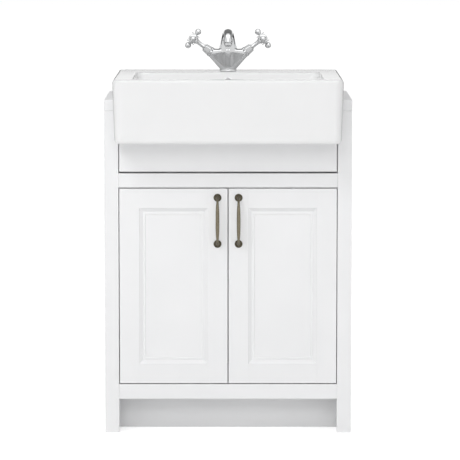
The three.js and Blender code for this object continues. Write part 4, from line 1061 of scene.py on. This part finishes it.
for side, sign in SIDES:
    for level, z in CUP_LEVELS.items():
        name = f"{side}_{level}_hinge"
        cup_place = Matrix.Translation((sign * CUP_X, DOOR_BACK, z)) @ \
            Matrix.Rotation(math.pi / 2, 4, "X")
        finish_piece(moved(hinge_cup(), cup_place), name + "_cup_pressing", name + "_cup",
                     plated_steel)
        arm = hinge_arm(name + "_arm")
        screw_y = node_box(name + "_arm")[1].y - SCREW_FROM_BACK
        for end in (-1, 1):
            screw_place = (sign * PLATE_FACE, screw_y, z + end * PLATE_SCREW)
            add_copy(arm, screw_head(), Matrix.Translation(screw_place)
                     @ Matrix.Rotation(-sign * math.pi / 2, 4, "Y") @ Matrix.Scale(0.9, 4))
        finish_piece(arm, name + "_arm_pressing", name + "_arm", plated_steel)
print("hinges at", sorted(CUP_LEVELS.values()))

# %% Shelf pins
for side, sign in SIDES:
    for row in ("front", "back"):
        name = f"{side}_shelf_pin_{row}"
        low, high = node_box(name)
        outer = low.x if sign < 0 else high.x
        pin = soften(turned([(0, 0), (2.5, 0), (2.5, 10), (4, 10), (4, 11.5), (2.5, 11.5),
                             (2.5, 22), (0, 22)], 32), 0.35)
        place = Matrix.Translation((outer, (low.y + high.y) / 2, (low.z + high.z) / 2)) @ \
            Matrix.Rotation(-sign * math.pi / 2, 4, "Y")
        finish_piece(moved(pin, place), name + "_turned", name, plated_steel)
print("four shelf pins")

# %% [markdown]
# ## Light, floor and backdrop
# The photograph is lit almost evenly, with a little more from the upper left, so an even world
# gives most of the light and two soft lamps add the rest. Floor and world show white to the camera
# and in reflections. Chrome has no colour of its own, so it also needs things to mirror: bright
# cards overhead and high in front, duller ones low in front and at the sides, and dark ones behind,
# which draw the dark lines along its edges. The top of the low dark card is as high as the basin's
# deck mirrors it in a thin line along its back. Only mirrors see the cards.

# %% World and lamps
world = bpy.data.worlds.new("studio")
bpy.context.scene.world = world
world.use_nodes = True
tree = world.node_tree
sky = tree.nodes["Background"]
sky.inputs["Color"].default_value = (1, 1, 1, 1)


def seen_directly(tree):
    """One for camera, mirror and transmission rays, and nothing for the light on surfaces."""
    rays = add(tree, "ShaderNodeLightPath")
    first = add(tree, "ShaderNodeMath", operation="MAXIMUM")
    second = add(tree, "ShaderNodeMath", operation="MAXIMUM")
    tree.links.new(rays.outputs["Is Camera Ray"], first.inputs[0])
    tree.links.new(rays.outputs["Is Glossy Ray"], first.inputs[1])
    tree.links.new(first.outputs["Value"], second.inputs[0])
    tree.links.new(rays.outputs["Is Transmission Ray"], second.inputs[1])
    return second.outputs["Value"]


WORLD_LEVEL, FLOOR_GLOW = 0.66, 0.45
tree.links.new(spread(tree, seen_directly(tree), WORLD_LEVEL, 1, 0, 1), sky.inputs["Strength"])


def soft_lamp(name, place, target, width, height, watts):
    lamp = bpy.data.lights.new(name, "AREA")
    lamp.shape = "RECTANGLE"
    lamp.size = width
    lamp.size_y = height
    lamp.energy = watts
    made = bpy.data.objects.new(name, lamp)
    made.location = place
    way = Vector(target) - Vector(place)
    made.rotation_euler = way.to_track_quat("-Z", "Y").to_euler()
    made.visible_glossy = False
    bpy.context.scene.collection.objects.link(made)


soft_lamp("key_softbox", (-1.4, -2.7, 3.4), (0, 0, 0.5), 1.4, 1.2, 32)
soft_lamp("front_softbox", (-0.2, -4.3, 2.3), (0, 0, 0.45), 1.8, 1.2, 28)
print("world level", WORLD_LEVEL)

# %% Cards
def card(name, low, high, level):
    """A thin card that only mirrors see, between two corners in metres."""
    made = linked_object(box_mesh(low, high), name)
    finish, tree, shader = new_finish(name + "_finish")
    shader.inputs["Base Color"].default_value = (0, 0, 0, 1)
    shader.inputs["Specular IOR Level"].default_value = 0
    shader.inputs["Emission Color"].default_value = (1, 1, 1, 1)
    shader.inputs["Emission Strength"].default_value = level
    made.data.materials.append(finish)
    made.visible_camera = False
    made.visible_diffuse = False
    made.visible_shadow = False
    made.visible_transmission = False


card("overhead_card", (-1.2, -2.0, 2.5), (1.2, 0.5, 2.51), 2.0)
card("low_front_card", (-3.2, -8.5, -0.01), (3.2, -8.49, 2.0), 0.9)
card("high_front_card", (-3.2, -8.5, 2.0), (3.2, -8.49, 7), 1.9)
card("low_dark_card", (-3, 1.2, 0.3), (3, 1.21, 0.938), 0.06)
card("high_dark_card", (-3, 1.2, 1.2), (3, 1.21, 2.6), 0.25)
for side, sign in SIDES:
    x = sign * 3.2
    card(side + "_card", (x, -8.5, -0.01), (x + 0.01, 0.2, 4.5), 1.1)
print("cards placed")

# %% Floor
floor_mesh = bmesh.new()
bmesh.ops.create_grid(floor_mesh, x_segments=1, y_segments=1, size=30)
floor = linked_object(floor_mesh, "floor")
floor_finish, tree, shader = new_finish("floor_white")
shader.inputs["Base Color"].default_value = (0.95, 0.95, 0.95, 1)
shader.inputs["Roughness"].default_value = 0.9
shader.inputs["Specular IOR Level"].default_value = 0
shader.inputs["Emission Color"].default_value = (1, 1, 1, 1)
tree.links.new(spread(tree, seen_directly(tree), 0, FLOOR_GLOW, 0, 1),
               shader.inputs["Emission Strength"])
floor.data.materials.append(floor_finish)

bpy.context.scene.view_settings.view_transform = "Standard"
